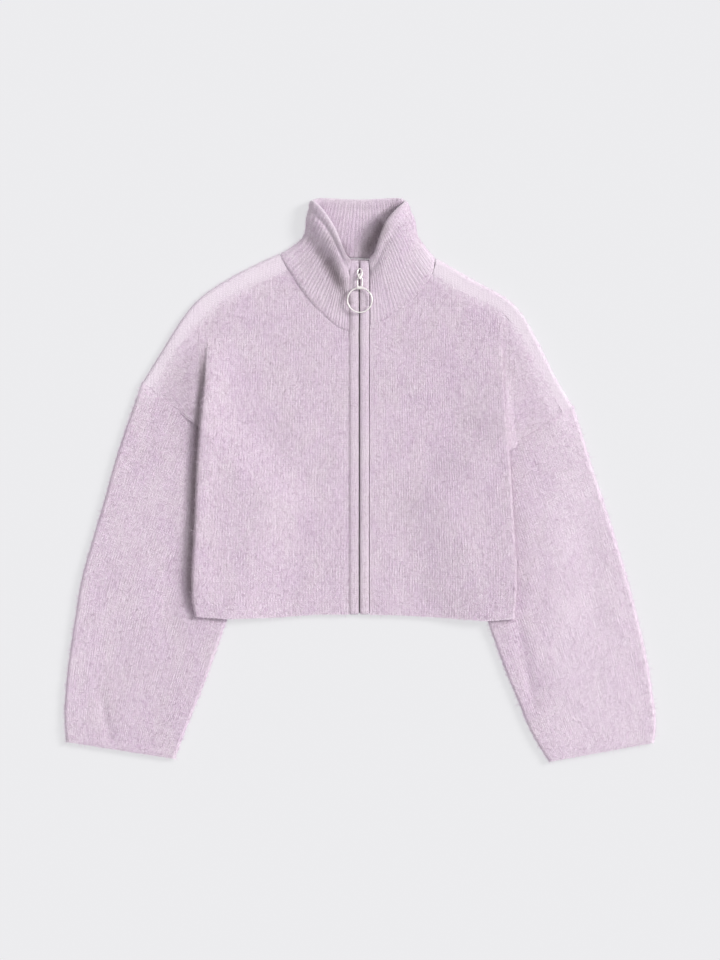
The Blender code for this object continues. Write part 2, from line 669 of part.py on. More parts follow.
def pull_link(level, metal):
    """The windowed link: a wire frame under the crown, with a barrel for the ring."""
    half = (LINK_WIDTH - LINK_BAR) / 2
    corner = 1.6
    path = []
    for cx, cy, first in ((half - corner, LINK_AXIS_Y - corner, 0),
                          (-half + corner, LINK_AXIS_Y - corner, 90),
                          (-half + corner, EYE_AXIS_Y + corner, 180),
                          (half - corner, EYE_AXIS_Y + corner, 270)):
        for step in range(4):
            a = math.radians(first + 30 * step)
            path.append((cx + corner * math.cos(a), cy + corner * math.sin(a)))
    curve = bpy.data.curves.new("link_wire", "CURVE")
    curve.dimensions = "3D"
    curve.bevel_depth = LINK_BAR / 2 * MM
    curve.bevel_resolution = 2
    spline = curve.splines.new("POLY")
    spline.points.add(len(path) - 1)
    spline.use_cyclic_u = True
    for point, (x, y) in zip(spline.points, path):
        point.co = ((ZIP_X + x - LAY_CENTRE[0]) * MM, (y - LAY_CENTRE[1]) * MM, level * MM, 1)
    wire = bpy.data.objects.new("link_wire", curve)
    PARTS.objects.link(wire)
    bpy.context.view_layer.update()
    seen = wire.evaluated_get(bpy.context.evaluated_depsgraph_get())
    mesh = bpy.data.meshes.new_from_object(seen)
    work = bmesh.new()
    work.from_mesh(mesh)
    bmesh.ops.remove_doubles(work, verts=work.verts, dist=0.00001)
    bmesh.ops.recalc_face_normals(work, faces=work.faces)
    work.to_mesh(mesh)
    work.free()
    mesh.materials.clear()
    mesh.materials.append(metal)
    mesh.shade_smooth()
    piece = bpy.data.objects.new("pull_link", mesh)
    PARTS.objects.link(piece)
    bpy.data.objects.remove(wire)
    centre = (ZIP_X, EYE_AXIS_Y, level)
    combine(piece, cylinder("link_barrel", BARREL_RADIUS, BARREL_LENGTH, centre, metal), "UNION")
    combine(piece, cylinder("link_bore", BARREL_BORE, 2 * LINK_WIDTH, centre, metal),
            "DIFFERENCE")


def pull_ring(level, metal):
    """The round wire ring that hangs in the link's barrel."""
    bpy.ops.mesh.primitive_torus_add(major_radius=RING_RADIUS * MM, minor_radius=RING_WIRE / 2 * MM,
                                     major_segments=48, minor_segments=8)
    ring = bpy.context.object
    ring.name = "pull_ring"
    for holder in ring.users_collection:
        holder.objects.unlink(ring)
    PARTS.objects.link(ring)
    ring.location = ((ZIP_X - LAY_CENTRE[0]) * MM,
                     (EYE_AXIS_Y - RING_RADIUS - LAY_CENTRE[1]) * MM, level * MM)
    ring.data.materials.append(metal)
    ring.data.shade_smooth()


# ---- build --------------------------------------------------------------
for old in list(bpy.data.objects):
    bpy.data.objects.remove(old)
PARTS = bpy.data.collections.new("cardigan")
CUTTERS = bpy.data.collections.new("cutters")
bpy.context.scene.collection.children.link(PARTS)
bpy.context.scene.collection.children.link(CUTTERS)

knit = material("brushed_knit", (0.70, 0.58, 0.71), 0.95)
rib = material("ribbed_knit", (0.68, 0.56, 0.69), 0.95)
tape = material("zip_tape", (0.60, 0.50, 0.60), 0.9)
teeth = material("zip_teeth", (0.16, 0.13, 0.13), 0.5)
silver = material("pale_silver", (0.85, 0.83, 0.81), 0.25, 1.0)

back(knit)
for one_side in SIDES:
    front(one_side, knit)
    sleeve(one_side, knit)
collar(rib)
zip_and_bands(knit, tape, teeth)
pull_level = slider(silver)
pull_link(pull_level, silver)
pull_ring(pull_level, silver)
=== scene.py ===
"""Cropped zip cardigan in brushed lilac knit, laid flat: the looks around its solids."""

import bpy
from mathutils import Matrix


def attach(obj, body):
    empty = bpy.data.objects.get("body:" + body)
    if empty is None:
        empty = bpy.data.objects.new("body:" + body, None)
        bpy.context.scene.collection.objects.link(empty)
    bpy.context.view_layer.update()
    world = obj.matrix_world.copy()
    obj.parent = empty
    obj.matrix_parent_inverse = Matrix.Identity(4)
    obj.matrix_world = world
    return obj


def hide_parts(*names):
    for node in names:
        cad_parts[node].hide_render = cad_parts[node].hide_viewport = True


bl_info = {
    "name": "Brushed Knit Cardigan",
    "version": (1, 0, 0),
    "blender": (4, 5, 0),
    "location": "View3D > Sidebar > Cardigan",
    "description": "Builds the knitted pieces, zip and nap of a cropped cardigan laid flat",
    "category": "Add Mesh",
}

import math

import bpy
import numpy as np
from mathutils import Vector
from bpy.props import FloatProperty, FloatVectorProperty, IntProperty, PointerProperty

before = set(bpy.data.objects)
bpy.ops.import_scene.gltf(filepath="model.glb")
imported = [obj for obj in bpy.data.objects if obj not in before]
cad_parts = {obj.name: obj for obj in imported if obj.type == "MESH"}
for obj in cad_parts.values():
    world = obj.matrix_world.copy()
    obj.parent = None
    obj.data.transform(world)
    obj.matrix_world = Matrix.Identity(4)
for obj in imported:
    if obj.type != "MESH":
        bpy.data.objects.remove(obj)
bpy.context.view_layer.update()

MM = 0.001
LAY_CENTRE = np.array([-1.3, 0.07])     # plan point of the tables below that is the origin
ROOT = "garment"

# ---- cloth layers, in millimetres --------------------------------------
CLOTH = 2.6                             # thickness of the knitting
FLOOR_MID = CLOTH / 2                   # middle height of a layer on the table
LOFT_MID = 7.0                          # middle height of a loose upper layer
LAYER = 3.4                             # from one layer's middle to the next
SIDE_MID = FLOOR_MID + 4 * LAYER        # the front's middle over the tucked-in sleeve
EDGE_TURN = 2.5                         # reach of the front's turned edge
EDGE_RETURN = 14.0                      # how far that edge runs back underneath
TUBE_REACH = 3.0                        # reach of a half turn at sleeve and shoulder
HEM_Y = -181.0
COLLAR_TOP_Y = 297.0
COLLAR_WALL = 3.0
COLLAR_HIGH = 95.0                      # from seam to rim, along the wall
RIBS = 84
RIM_BEAD = 1.3                          # how far the rim's roll stands off each face
NECK_SHIFT = -1.1                       # the front's neck edge runs in under the collar
SHOULDER_SHIFT = -0.8                   # and its shoulder edge towards the back's
# puff of the front along its side fold: height, y up to which it is full, run it fades over
FOLD_PUFF = {-1: (4.2, 150, 60), 1: (0.8, 20, 110)}
FOLD_PUFF_WIDTH = 26

# ---- zip and pull, in millimetres ----------------------------------------
ZIP_X = -1.6
ZIP_GAP = 2.4
BAND_WIDTH = 12.4
BAND_THICK = 4.4
BAND_RISE = 2.5                         # how far the bands climb with the collar
RISE_Y = 200.0                          # where they start to climb
TAPE_EDGE = 2.9                         # from the zip's middle to the tape
TAPE_HALF = 4.5
TAPE_HALF_THICK = 0.4
TAPE_GAP = 0.35                         # between band and tape
TOOTH_HALF = (1.75, 0.46, 0.75)         # half sizes of one turn of the coil
TOOTH_PITCH = 0.75
TOOTH_ASIDE = 0.75                      # how far a turn's middle lies off the zip's
TOOTH_DROP = 1.1                        # from the band's underside to the turn's middle
WIRE = 0.95                             # half thickness of the ring's and loop's wire
RING_RADIUS = 16.6
RING_TOP_Y = 260.0
LOOP_HALF = (3.2, 6.9)
LOOP_Y = 279.0
LOOP_SLOPE = 2.3                        # half of what the loop climbs to its lower end
SLIDER_HALF = (3.0, 3.4, 1.4)
SLIDER_Y = 276.2
SLIDER_DROP = 1.9                       # from the pull's level to the slider's middle
PULL_Y = 278.5
PULL_GAP = 0.5                          # between the bands and the slider's plate
PLATE_THICK = 1.8
PIN_LIFT = 1.2                          # from the plate to the pull's level

SIDES = {-1: "right", 1: "left"}        # the wearer's sides: -1 lies at -X

# ---- stations of the lay, in millimetres -------------------------------
# front shoulder seam from the neck to the armhole: x, y
SHOULDER_SEAM = {
    -1: [(-99.5, 282.5), (-134, 268), (-170, 250), (-205, 226), (-228, 202),
         (-247, 178), (-265, 152), (-282.5, 124)],
    1: [(98.5, 278), (127, 259), (158, 245), (188, 229), (209, 205),
        (227, 176), (247, 139), (272, 92)],
}
# rolled edge of the shoulder from the neck to the armhole: x, y
SHOULDER_EDGE = {
    -1: [(-112.5, 305), (-139, 293), (-176, 274), (-214, 249), (-238, 223),
         (-262, 186), (-281, 155), (-295, 132)],
    1: [(104, 298.5), (132, 282), (160, 266), (190, 250), (214, 229),
        (238, 189), (262, 140), (286, 100)],
}
FOLD_PLACE = 3                          # station where the body's side fold starts
CORNER_PLACE = 7                        # station at the armhole's outer corner
# fold down the side of the body: y, x
BODY_FOLD = {
    -1: [(226, -205), (191, -207), (137, -211), (78, -217), (13, -221),
         (-82, -225), (-132, -228), (-163, -227), (-184, -223)],
    1: [(229, 188), (198, 188), (137, 192), (78, 196), (14, 201),
        (-53, 205), (-109, 209), (-154, 209), (-187, 206)],
}
# armhole seam: outer point, inner point, outward bow
ARMHOLE = {
    -1: ((-296, 131), (-130, -29), 11.0),
    1: ((287, 99), (119, -29), 7.0),
}
# sleeve stations from armhole to cuff: outer x, outer y, inner x, inner y
SLEEVE = {
    -1: [(-296, 131, -130, -29), (-312, 86, -136, -48), (-331, 29, -145, -78),
         (-346, -25, -156, -112), (-362, -79, -168, -148),
         (-377, -133, -180, -185), (-386, -187, -192, -220),
         (-395, -248, -207, -262), (-400, -300, -223, -303),
         (-400, -328, -240, -345), (-398, -353, -251, -376)],
    1: [(287, 99, 119, -29), (300, 57, 126, -50), (313, 15, 136, -80),
        (329, -33, 147, -115), (344, -80, 158, -150),
        (358, -127, 170, -187), (372, -180, 182, -221),
        (386, -241, 196, -259), (394, -290, 211, -295),
        (398, -325, 230, -340), (396, -354, 254, -380)],
}
# how far the sleeve reaches in under the front: y, reach from the fold
TUCK = {
    -1: [(-187, 46), (-106, 72), (-29, 93), (28, 41), (78, 0)],
    1: [(-187, 38), (-106, 66), (-29, 86), (28, 40), (70, 0)],
}
# hem line: x, y
HEM = [(-227, -184), (-184, -187), (-113, -185), (-63, -181), (-3, -181),
       (53, -182), (107, -185), (174, -190), (210, -187)]
# collar stations from the wearer's right front round the back to the left
# front: x, y, z of seam, valley, crest and rim (z is the wall's middle)
COLLAR = [
    (-15.7, 200, 7.0, -15.7, 232, 7.4, -15.7, 265, 8.2, -15.7, 297, 9.5),
    (-34, 209, 7.2, -28, 250, 7.6, -24, 281, 13, -21, 303, 17),
    (-61, 233, 7.5, -41, 278, 7.8, -33, 304, 19, -28, 320, 24),
    (-80, 257, 8.0, -55, 299, 8.6, -44.5, 324, 22.5, -37, 340, 27),
    (-97, 283, 8.0, -67, 315, 9.5, -58, 341, 23, -50, 360, 25.5),
    (-107, 300, 6.5, -76.5, 325, 9.0, -70, 353, 16, -63, 374, 17),
    (-106, 304, 2.6, -76, 327, 4.5, -71.5, 354, 8, -66, 375, 8),
    (-86, 302, 1.5, -70, 330, 1.6, -62, 355, 1.9, -54, 379, 2.4),
    (-3, 300, 1.5, -3, 326, 1.5, -2, 352, 1.6, -1, 377, 1.8),
    (78, 297, 1.5, 66, 325, 1.6, 57, 352, 1.9, 50, 379, 2.4),
    (98, 298, 2.6, 75, 329, 4.5, 70, 351, 8, 60, 374, 8),
    (99, 294, 6.5, 77, 322, 10, 69.5, 350, 17, 58, 372, 17),
    (96, 279, 8.0, 76, 308, 11, 62, 338, 22, 46, 361, 25),
    (82, 258, 8.0, 63, 290, 11, 50, 322, 22, 35, 347, 26.5),
    (62, 238, 7.5, 48, 273, 10, 37, 304, 18, 27, 330, 23),
    (36, 219, 7.2, 30, 253, 8.5, 25, 283, 13, 20, 308, 15),
    (12.5, 208, 7.0, 12.5, 238, 7.4, 12.5, 268, 8.2, 12.5, 298, 9.5),
]


# ---- what a user may change ---------------------------------------------
class CardiganSizes(bpy.types.PropertyGroup):
    """Sizes of the stitches and of the nap, in millimetres."""
    wale: FloatProperty(name="Wale", description="Width of a knitted column on yoke and back",
                        default=3.6, min=2.0, max=8.0)
    course: FloatProperty(name="Course", description="Height of one knitted row",
                          default=2.8, min=1.5, max=6.0)
    relief: FloatProperty(name="Relief", description="How far the columns stand up",
                          default=0.5, min=0.0, max=1.5)
    rib_relief: FloatProperty(name="Rib relief", description="How far the collar's ribs stand up",
                              default=0.55, min=0.0, max=2.0)
    hair_length: FloatProperty(name="Hair length", description="Mean length of the brushed hair",
                               default=6.5, min=1.0, max=15.0)
    hair_width: FloatProperty(name="Hair width", description="Width of a lock of hair at its root",
                              default=0.34, min=0.05, max=1.0)
    hair_count: IntProperty(name="Hair", description="Locks of hair on each thousand square mm",
                            default=345, min=0, max=2000)


class CardiganColours(bpy.types.PropertyGroup):
    """Colours of yarn, hair, zip and metal."""
    yarn: FloatVectorProperty(name="Yarn", description="Main lilac of the yarn",
                              subtype="COLOR", default=(0.800, 0.660, 0.800), min=0, max=1)
    yarn_pale: FloatVectorProperty(name="Pale yarn", description="Greyish fleck in the yarn",
                                   subtype="COLOR", default=(0.86, 0.77, 0.83), min=0, max=1)
    # dark yarn tone, and also the colour of the painted shade in the stitch gaps and creases
    deep_yarn_and_shade: FloatVectorProperty(name="Deep yarn", description="Colour between the stitches",
                                   subtype="COLOR", default=(0.38, 0.28, 0.33), min=0, max=1)
    hair: FloatVectorProperty(name="Hair", description="Colour of the brushed hair",
                              subtype="COLOR", default=(0.93, 0.83, 0.92), min=0, max=1)
    teeth: FloatVectorProperty(name="Teeth", description="Colour of the zip's coil",
                               subtype="COLOR", default=(0.10, 0.075, 0.07), min=0, max=1)
    silver: FloatVectorProperty(name="Silver", description="Colour of slider, link and ring",
                                subtype="COLOR", default=(0.98, 0.95, 0.93), min=0, max=1)


# ---- curves and tables ---------------------------------------------------
def smooth_step(value):
    """0 below 0, 1 above 1, and 3t^2 - 2t^3 between."""
    t = np.clip(value, 0.0, 1.0)
    return t * t * (3.0 - 2.0 * t)


def lookup(table, at):
    """Straight-line lookup in a table of (position, value) rows."""
    rows = np.array(sorted(table), float)
    return np.interp(at, rows[:, 0], rows[:, 1])


def curve_at(rows, places):
    """Catmull-Rom curve through the rows, read at station numbers (0 is the first row)."""
    rows = np.asarray(rows, float)
    padded = np.concatenate([2 * rows[:1] - rows[1:2], rows, 2 * rows[-1:] - rows[-2:-1]])
    places = np.asarray(places, float)
    index = np.clip(places.astype(int), 0, len(rows) - 2)
    t = (places - index).reshape(places.shape + (1,) * (rows.ndim - 1))
    a, b, c, d = (padded[index + k] for k in range(4))
    return 0.5 * (2 * b + (c - a) * t + (2 * a - 5 * b + 4 * c - d) * t ** 2
                  + (3 * b - a - 3 * c + d) * t ** 3)


def refine_columns(keys, places):
    """Catmull-Rom along the columns of a grid (rows, columns, 3)."""
    return np.swapaxes(curve_at(np.swapaxes(keys, 0, 1), places), 0, 1)


def shifted(points, side, distance):
    """Move a plan curve square to its run, away from the collar."""
    tangent = np.gradient(points, axis=0)
    tangent /= np.linalg.norm(tangent, axis=1, keepdims=True)
    return points + distance * side * np.stack([tangent[:, 1], -tangent[:, 0]], axis=1)


def from_line(x, y, line):
    """Distances along and square to a line (start x, y, end x, y), and its length."""
    x0, y0, x1, y1 = line
    run = np.array([x1 - x0, y1 - y0], float)
    length = np.linalg.norm(run)
    run /= length
    return ((x - x0) * run[0] + (y - y0) * run[1],
            (x - x0) * run[1] - (y - y0) * run[0], length)


def fold_x(side, y):
    """Plan x of the fold down the side of the body."""
    return lookup(BODY_FOLD[side], y)


def armhole_point(side, share, bow_share=1.0, ends=None):
    """Straight line from corner to underarm plus a parabola's bow: 4 s (1 - s) bow."""
    outer, inner, bow = ARMHOLE[side]
    outer, inner = np.array(ends if ends is not None else (outer, inner), float)
    run = inner - outer
    run_unit = run / np.linalg.norm(run)
    lift = side * np.array([run_unit[1], -run_unit[0]])
    share = np.asarray(share, float)[..., None]
    return outer + share * run + 4 * share * (1 - share) * bow * bow_share * lift


def armhole_crossing(side):
    """Share along the armhole seam where it meets the body's fold."""
    shares = np.linspace(0, 1, 401)
    points = armhole_point(side, shares)
    inside = side * (fold_x(side, points[:, 1]) - points[:, 0])
    return shares[np.argmax(inside > 0)]


# ---- heights of the layers ------------------------------------------------
def front_mid(side, x, y):
    """Loft height plus the rise over the tucked-in sleeve, by two smooth steps."""
    inside = side * (fold_x(side, y) - x)
    reach = lookup(TUCK[side], y)
    beside = 1 - smooth_step((inside - reach + 10) / 95)
    below = 1 - smooth_step((y - 85) / 115)
    return LOFT_MID + (SIDE_MID - LOFT_MID) * beside * below


def covered(side, x, y):
    """1 where the sleeve lies on the back, 0 where it rests on the table."""
    outside = side * (x - fold_x(side, y))
    under_hem = lookup(HEM, x) - y
    return ((1 - smooth_step((outside - 12) / 28))
            * (1 - smooth_step((under_hem - 12) / 28)))


def band_mid(y):
    """Middle height of the zip bands: level, then rising with the collar."""
    climbed = (np.asarray(y, float) - RISE_Y) / (COLLAR_TOP_Y - RISE_Y)
    return LOFT_MID + BAND_RISE * np.clip(climbed, 0, 1)


def soft_waves(x, y, seed, size=70.0):
    """Sum of six sine waves in seeded directions: the cloth's slow unevenness, -1 to 1."""
    rng = np.random.default_rng(seed)
    total = np.zeros(np.broadcast(x, y).shape)
    for octave in range(6):
        angle = rng.uniform(0, 2 * math.pi)
        pitch = size * rng.uniform(0.55, 1.6)
        phase = rng.uniform(0, 2 * math.pi)
        total += np.sin(2 * math.pi * (x * math.cos(angle) + y * math.sin(angle)) / pitch + phase)
    return total / 6


def brushed(x, y):
    """How densely the cloth is brushed, 0 to 1: shoulders and outer sleeves most; it also carries
    painted light, the lit +X sleeve and the shoulders paler.
    """
    total = 0.10 + 0.16 * soft_waves(x, y, 5, 120)
    # shoulder strips: denser nap, and a painted highlight that is stronger on the lit +X shoulder
    for side in (-1, 1):
        line = curve_at(SHOULDER_EDGE[side], np.linspace(0, CORNER_PLACE, 29))
        near = np.full(np.shape(x), 1e9)
        for px, py in line:
            near = np.minimum(near, np.hypot(x - px, y - py))
        total = total + (0.95 if side > 0 else 0.85) * (1 - smooth_step((near - 12) / 26))
    # painted light with some more nap: the whole +X sleeve paler as the lit side, and the -X
    # sleeve's outer edge paler where it turns from the lamp
    total = total + 0.62 * smooth_step((x - 222) / 60)
    total = total + 0.30 * smooth_step((-x - 330) / 60)
    return np.clip(total, 0, 1)


# ---- mesh helpers ----------------------------------------------------------
# painted shade and shadow in the collar's valleys and inside it behind the +X front, beside the zip
# and bands, and over the shoulder drop at -X: start x, y, end x, y, half width, share
PAINTED_SHADE_LINES = [(-70, 326, -57, 309, 5, 0.25), (-57, 309, -45, 294, 8, 0.5),
           (-45, 294, -28, 266, 9, 0.78), (-28, 266, -16, 240, 6, 0.55),
           (-16, 240, -12, 205, 4, 0.3), (-23, 316, -16, 298, 5, 0.35),
           (-72, 300, -35, 250, 22, 0.14), (48, 370, 27, 344, 7, 0.35),
           (27, 344, 10, 312, 9, 0.8), (10, 312, 4, 302, 8, 0.5),
           (-1.6, 298, -1.6, -181, 10, 0.1), (-262, 168, -228, 60, 26, 0.08),
           (-15.6, 215, -15.6, -178, 1.3, 0.4), (-2.4, 298, -2.4, -181, 2.2, 0.35)]
# painted shadow outside each side fold: share, distance from the fold, half width
FOLD_PAINTED_SHADOW = {-1: (0.72, 3.5, 5.5), 1: (0.16, 1.2, 2.6)}


def painted_shade(x, y):
    """0 to 1: how much painted shade a place gets, share exp(-(plan distance / width)^2)."""
    total = np.zeros(np.shape(x))
    for *line, width, share in PAINTED_SHADE_LINES:
        along, aside, length = from_line(x, y, line)
        past = np.maximum(np.maximum(-along, along - length), 0)
        total = np.maximum(total, share * np.exp(-(np.hypot(aside, past) / width) ** 2))
    reach = smooth_step((196 - y) / 60) * smooth_step((y + 200) / 60)
    for side, (share, offset, width) in FOLD_PAINTED_SHADOW.items():
        away = (side * (x - fold_x(side, y)) - offset) / width
        total = np.maximum(total, share * reach * np.exp(-away ** 2))
    return total


def grid_normals(grid, wrap=False):
    """Unit normals of a grid of points: across x along, both by central differences."""
    along = np.gradient(grid, axis=0)
    if wrap:
        across = np.roll(grid, -1, axis=1) - np.roll(grid, 1, axis=1)
    else:
        across = np.gradient(grid, axis=1)
    normal = np.cross(across, along)
    return normal / np.maximum(np.linalg.norm(normal, axis=2, keepdims=True), 1e-9)


def quads_of(rows, columns, kept, wrap, first=0):
    """Corner numbers (count, 4) of the kept cells of a grid of vertices."""
    row, column = np.nonzero(kept)
    after = (column + 1) % columns if wrap else column + 1
    return first + np.stack([row * columns + column, row * columns + after,
                             (row + 1) * columns + after, (row + 1) * columns + column], axis=1)


def rim_edges(quads):
    """Directed edges of the quads that no other quad runs back along."""
    starts = quads.ravel()
    ends = np.roll(quads, -1, axis=1).ravel()
    base = int(quads.max()) + 1
    lone = ~np.isin(starts * base + ends, ends * base + starts)
    return starts[lone], ends[lone]


def enclosed(points, quads):
    """Six times the volume that the quads enclose, each as two triangles."""
    a, b, c, d = (points[quads[:, corner]] for corner in range(4))
    return np.einsum("ij,ij->", np.cross(a, b), c) + np.einsum("ij,ij->", np.cross(a, c), d)


def put_mesh(name, points, polygons, surface, uv=None, body=ROOT, smooth=True, attributes=None):
    """Add a mesh from points in millimetres and polygons given as equal-width arrays."""
    points = np.asarray(points, float).copy()
    attributes = dict(attributes or {})
    if uv is not None:
        # vertex values for the colour: nap density that also carries painted light, and painted
        # shade in creases and beside the folds
        attributes["brushed"] = brushed(points[:, 0], points[:, 1])
        attributes["painted_shade"] = painted_shade(points[:, 0], points[:, 1])
    points[:, :2] -= LAY_CENTRE
    sizes = np.concatenate([np.full(len(part), part.shape[1]) for part in polygons])
    corners = np.concatenate([part.ravel() for part in polygons]).astype(np.int32)
    used, order = np.unique(corners, return_inverse=True)
    mesh = bpy.data.meshes.new(name)
    mesh.vertices.add(len(used))
    mesh.vertices.foreach_set("co", (points[used] * MM).astype(np.float32).ravel())
    mesh.loops.add(len(corners))
    mesh.loops.foreach_set("vertex_index", order.astype(np.int32))
    mesh.polygons.add(len(sizes))
    starts = np.concatenate([[0], np.cumsum(sizes)[:-1]]).astype(np.int32)
    mesh.polygons.foreach_set("loop_start", starts)
    mesh.update(calc_edges=True)
    if uv is not None:
        layer = mesh.uv_layers.new(name="stitch")
        layer.data.foreach_set("uv", np.asarray(uv, np.float32)[corners].ravel())
    for label, values in attributes.items():
        layer = mesh.attributes.new(label, "FLOAT", "POINT")
        layer.data.foreach_set("value", np.asarray(values, np.float32)[used])
    mesh.validate()
    if smooth:
        mesh.shade_smooth()
    mesh.materials.append(surface)
    made = bpy.data.objects.new(name, mesh)
    bpy.context.scene.collection.objects.link(made)
    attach(made, body)
    return made


SHARP_ANGLE = math.radians(70)          # an edge that turns by more is shaded as sharp


def shell(name, outer, inner, uv, surface, kept=None, wrap=False, thin=(4, 4)):
    """Close a fine outer skin and a coarse inner skin into one thin wall.

    The inner skin takes every thin[0]-th row and thin[1]-th column of its grid;
    each edge of the rim is joined to the nearest coarse corners.
    """
    rows, columns = outer.shape[:2]
    cells = columns if wrap else columns - 1
    if kept is None:
        kept = np.ones((rows - 1, cells), bool)
    fine = quads_of(rows, columns, kept, wrap)
    step_row, step_column = thin
    coarse_grid = inner[::step_row, ::step_column]
    coarse_rows, coarse_columns = coarse_grid.shape[:2]
    coarse_kept = kept[::step_row, ::step_column]
    coarse_kept = coarse_kept[:coarse_rows - 1, :coarse_columns if wrap else coarse_columns - 1]
    first = rows * columns
    coarse = quads_of(coarse_rows, coarse_columns, coarse_kept, wrap, first)[:, ::-1]
    start, end = rim_edges(fine)

    def below(index):
        row = np.rint(index // columns / step_row - 1e-6).astype(int)
        column = np.rint(index % columns / step_column - 1e-6).astype(int)
        if wrap:
            column %= coarse_columns
        return first + row * coarse_columns + column

    low_start, low_end = below(start), below(end)
    shared = low_start == low_end
    triangles = np.stack([end[shared], start[shared], low_start[shared]], axis=1)
    squares = np.stack([end, start, low_start, low_end], axis=1)[~shared]
    points = np.concatenate([outer.reshape(-1, 3), coarse_grid.reshape(-1, 3)])
    flat_uv = np.concatenate([uv.reshape(-1, 2),
                              uv[::step_row, ::step_column].reshape(-1, 2)])
    parts = [part for part in (fine, coarse, squares, triangles) if len(part)]
    if enclosed(points, fine) + enclosed(points, coarse) < 0:
        parts = [part[:, ::-1] for part in parts]
    made = put_mesh(name, points, parts, surface, flat_uv)
    made.data.set_sharp_from_angle(angle=SHARP_ANGLE)
    return made


def lumps(shape, seed):
    """Small seeded unevenness of the yarn, one value to a vertex, in millimetres."""
    return np.random.default_rng(seed).normal(0, 0.13, shape)


def cos_ridge(position):
    """Round ridge across one column of stitches: (1 + cos 2 pi u) / 2."""
    return 0.5 + 0.5 * np.cos(2 * math.pi * position)


# ---- the front panels -------------------------------------------------------
FINE = 4                                # fine columns to one knitted column
FRONT_WALES = 57
UPPER_ROWS = 64                         # from the top edge to the armhole's crossing
LOWER_ROWS = 80                         # from there to the hem
KEY_STEPS = (4, 4, 4, 4, 8, 8, 8, 8)    # fine columns between the keys past the fold
TURNED_CELLS = 12                       # those of the edge turned under


def neck_points(side, count):
    """Front neck seam from the band to the shoulder, on the collar's own curve."""
    last = len(COLLAR) - 1
    places = np.linspace(0, 4, count) if side < 0 else np.linspace(last, last - 4, count)
    return curve_at(COLLAR, places)[:, :2]


def front_top(side):
    """Dense line of the front's top edge from the zip to the fold, and the keys past it."""
    neck = shifted(neck_points(side, 41), side, NECK_SHIFT)
    shoulder = curve_at(SHOULDER_SEAM[side], [0.6, 1.2, 1.8, 2.4, 3])
    after = curve_at(SHOULDER_SEAM[side], [4, 5, 6, 7])
    start, end = shoulder[-1], after[0]
    turned = [start + (end - start) * k / 5 for k in (1, 2, 3, 4)]
    seam = shifted(np.vstack([shoulder, turned, after]), side, SHOULDER_SHIFT)
    return np.vstack([neck, seam[:5]]), seam[4:]


def front_grid(side):
    """Middle surface of a front panel on a fine grid.

    Body: x = x0 + s (fold(y) - x0), y mixed from top to armhole and armhole to
    hem, z = front_mid(x, y).  Past the fold the key columns are joined by a
    Catmull-Rom curve: out over the sleeve seam above, turned under below.
    """
    line, keys_top = front_top(side)
    share = np.linspace(0, 1, FRONT_WALES * FINE + 1)
    edge_x = line[0, 0]
    top_x = edge_x + share * (line[-1, 0] - edge_x)
    order = np.argsort(line[:, 0])
    top_y = np.interp(top_x, line[order, 0], line[order, 1])
    crossing = armhole_crossing(side)
    shares = np.concatenate([crossing - np.array([2, 4, 6, 9]) / 230,
                             np.linspace(crossing - 0.07, 0.085, 4)])
    ends = armhole_point(side, shares)
    ends[:, 1] -= 0.6
    middle_y = armhole_point(side, crossing)[1] - 0.6
    flat_step = side * (keys_top[:5, 0] - keys_top[0, 0])
    out_step = np.array([-EDGE_TURN, 0.0, 0.6, 1.4, 5.0] if side < 0
                        else [-EDGE_TURN, 0.0, 1.8, 4.6, 11.0])

    rows = UPPER_ROWS + LOWER_ROWS + 1
    t = np.concatenate([np.linspace(0, 1, UPPER_ROWS + 1),
                        np.linspace(0, 1, LOWER_ROWS + 1)[1:]])[:, None]
    upper = (np.arange(rows) <= UPPER_ROWS)[:, None]
    turn = np.where(upper, smooth_step(t), 1.0)
    hem_y = lookup(HEM, edge_x + share * (fold_x(side, HEM_Y) - edge_x))[None]
    y = np.where(upper, top_y[None] * (1 - t) + middle_y * t,
                 middle_y * (1 - t) + hem_y * t)
    fold = fold_x(side, y[:, -1:])
    x = edge_x + share[None] * (fold - side * EDGE_TURN * turn - edge_x)
    z = front_mid(side, x, y)
    body = np.stack([x, y, z], axis=2)

    high = z[:, -1]
    keys = np.zeros((rows, 10, 3))
    inward = FRONT_WALES * FINE - 8
    keys[:, 0] = body[:, inward]
    keys[:, 1] = body[:, -1]
    for row in range(rows):
        rise = high[row] - LOFT_MID
        if row <= UPPER_ROWS:
            mix, part = t[row, 0], turn[row, 0]
            keys[row, 2:, :2] = keys_top[1:] * (1 - mix) + ends * mix
            keys[row, 2:, 2] = LOFT_MID
            keys[row, 1:6, 0] = fold[row, 0] + side * (flat_step * (1 - part) + out_step * part)
            profile = np.array([high[row], high[row] - 1.7, LOFT_MID + rise / 2,
                                LOFT_MID + rise * 0.175, LOFT_MID])
            keys[row, 1:6, 2] = LOFT_MID * (1 - part) + profile * part
        else:
            under = high[row] - LAYER
            keys[row, 1:5, 0] = fold[row, 0] + side * np.array(
                [-EDGE_TURN, 0.0, -EDGE_TURN, -EDGE_RETURN])
            keys[row, 1:5, 1] = y[row, -1]
            keys[row, 1:5, 2] = [high[row], (high[row] + under) / 2, under, under]
            keys[row, 5:] = keys[row, 4]
    places = 1 + np.concatenate([k + np.arange(1, n + 1) / n for k, n in enumerate(KEY_STEPS)])
    grid = np.concatenate([body, refine_columns(keys, places)], axis=1)

    kept = np.zeros((rows - 1, grid.shape[1] - 1), bool)
    kept[:UPPER_ROWS] = True
    body_cells = FRONT_WALES * FINE
    kept[UPPER_ROWS:UPPER_ROWS + 4, :body_cells + 8] = True
    kept[UPPER_ROWS + 4:, :body_cells + TURNED_CELLS] = True
    return grid, kept, body_cells


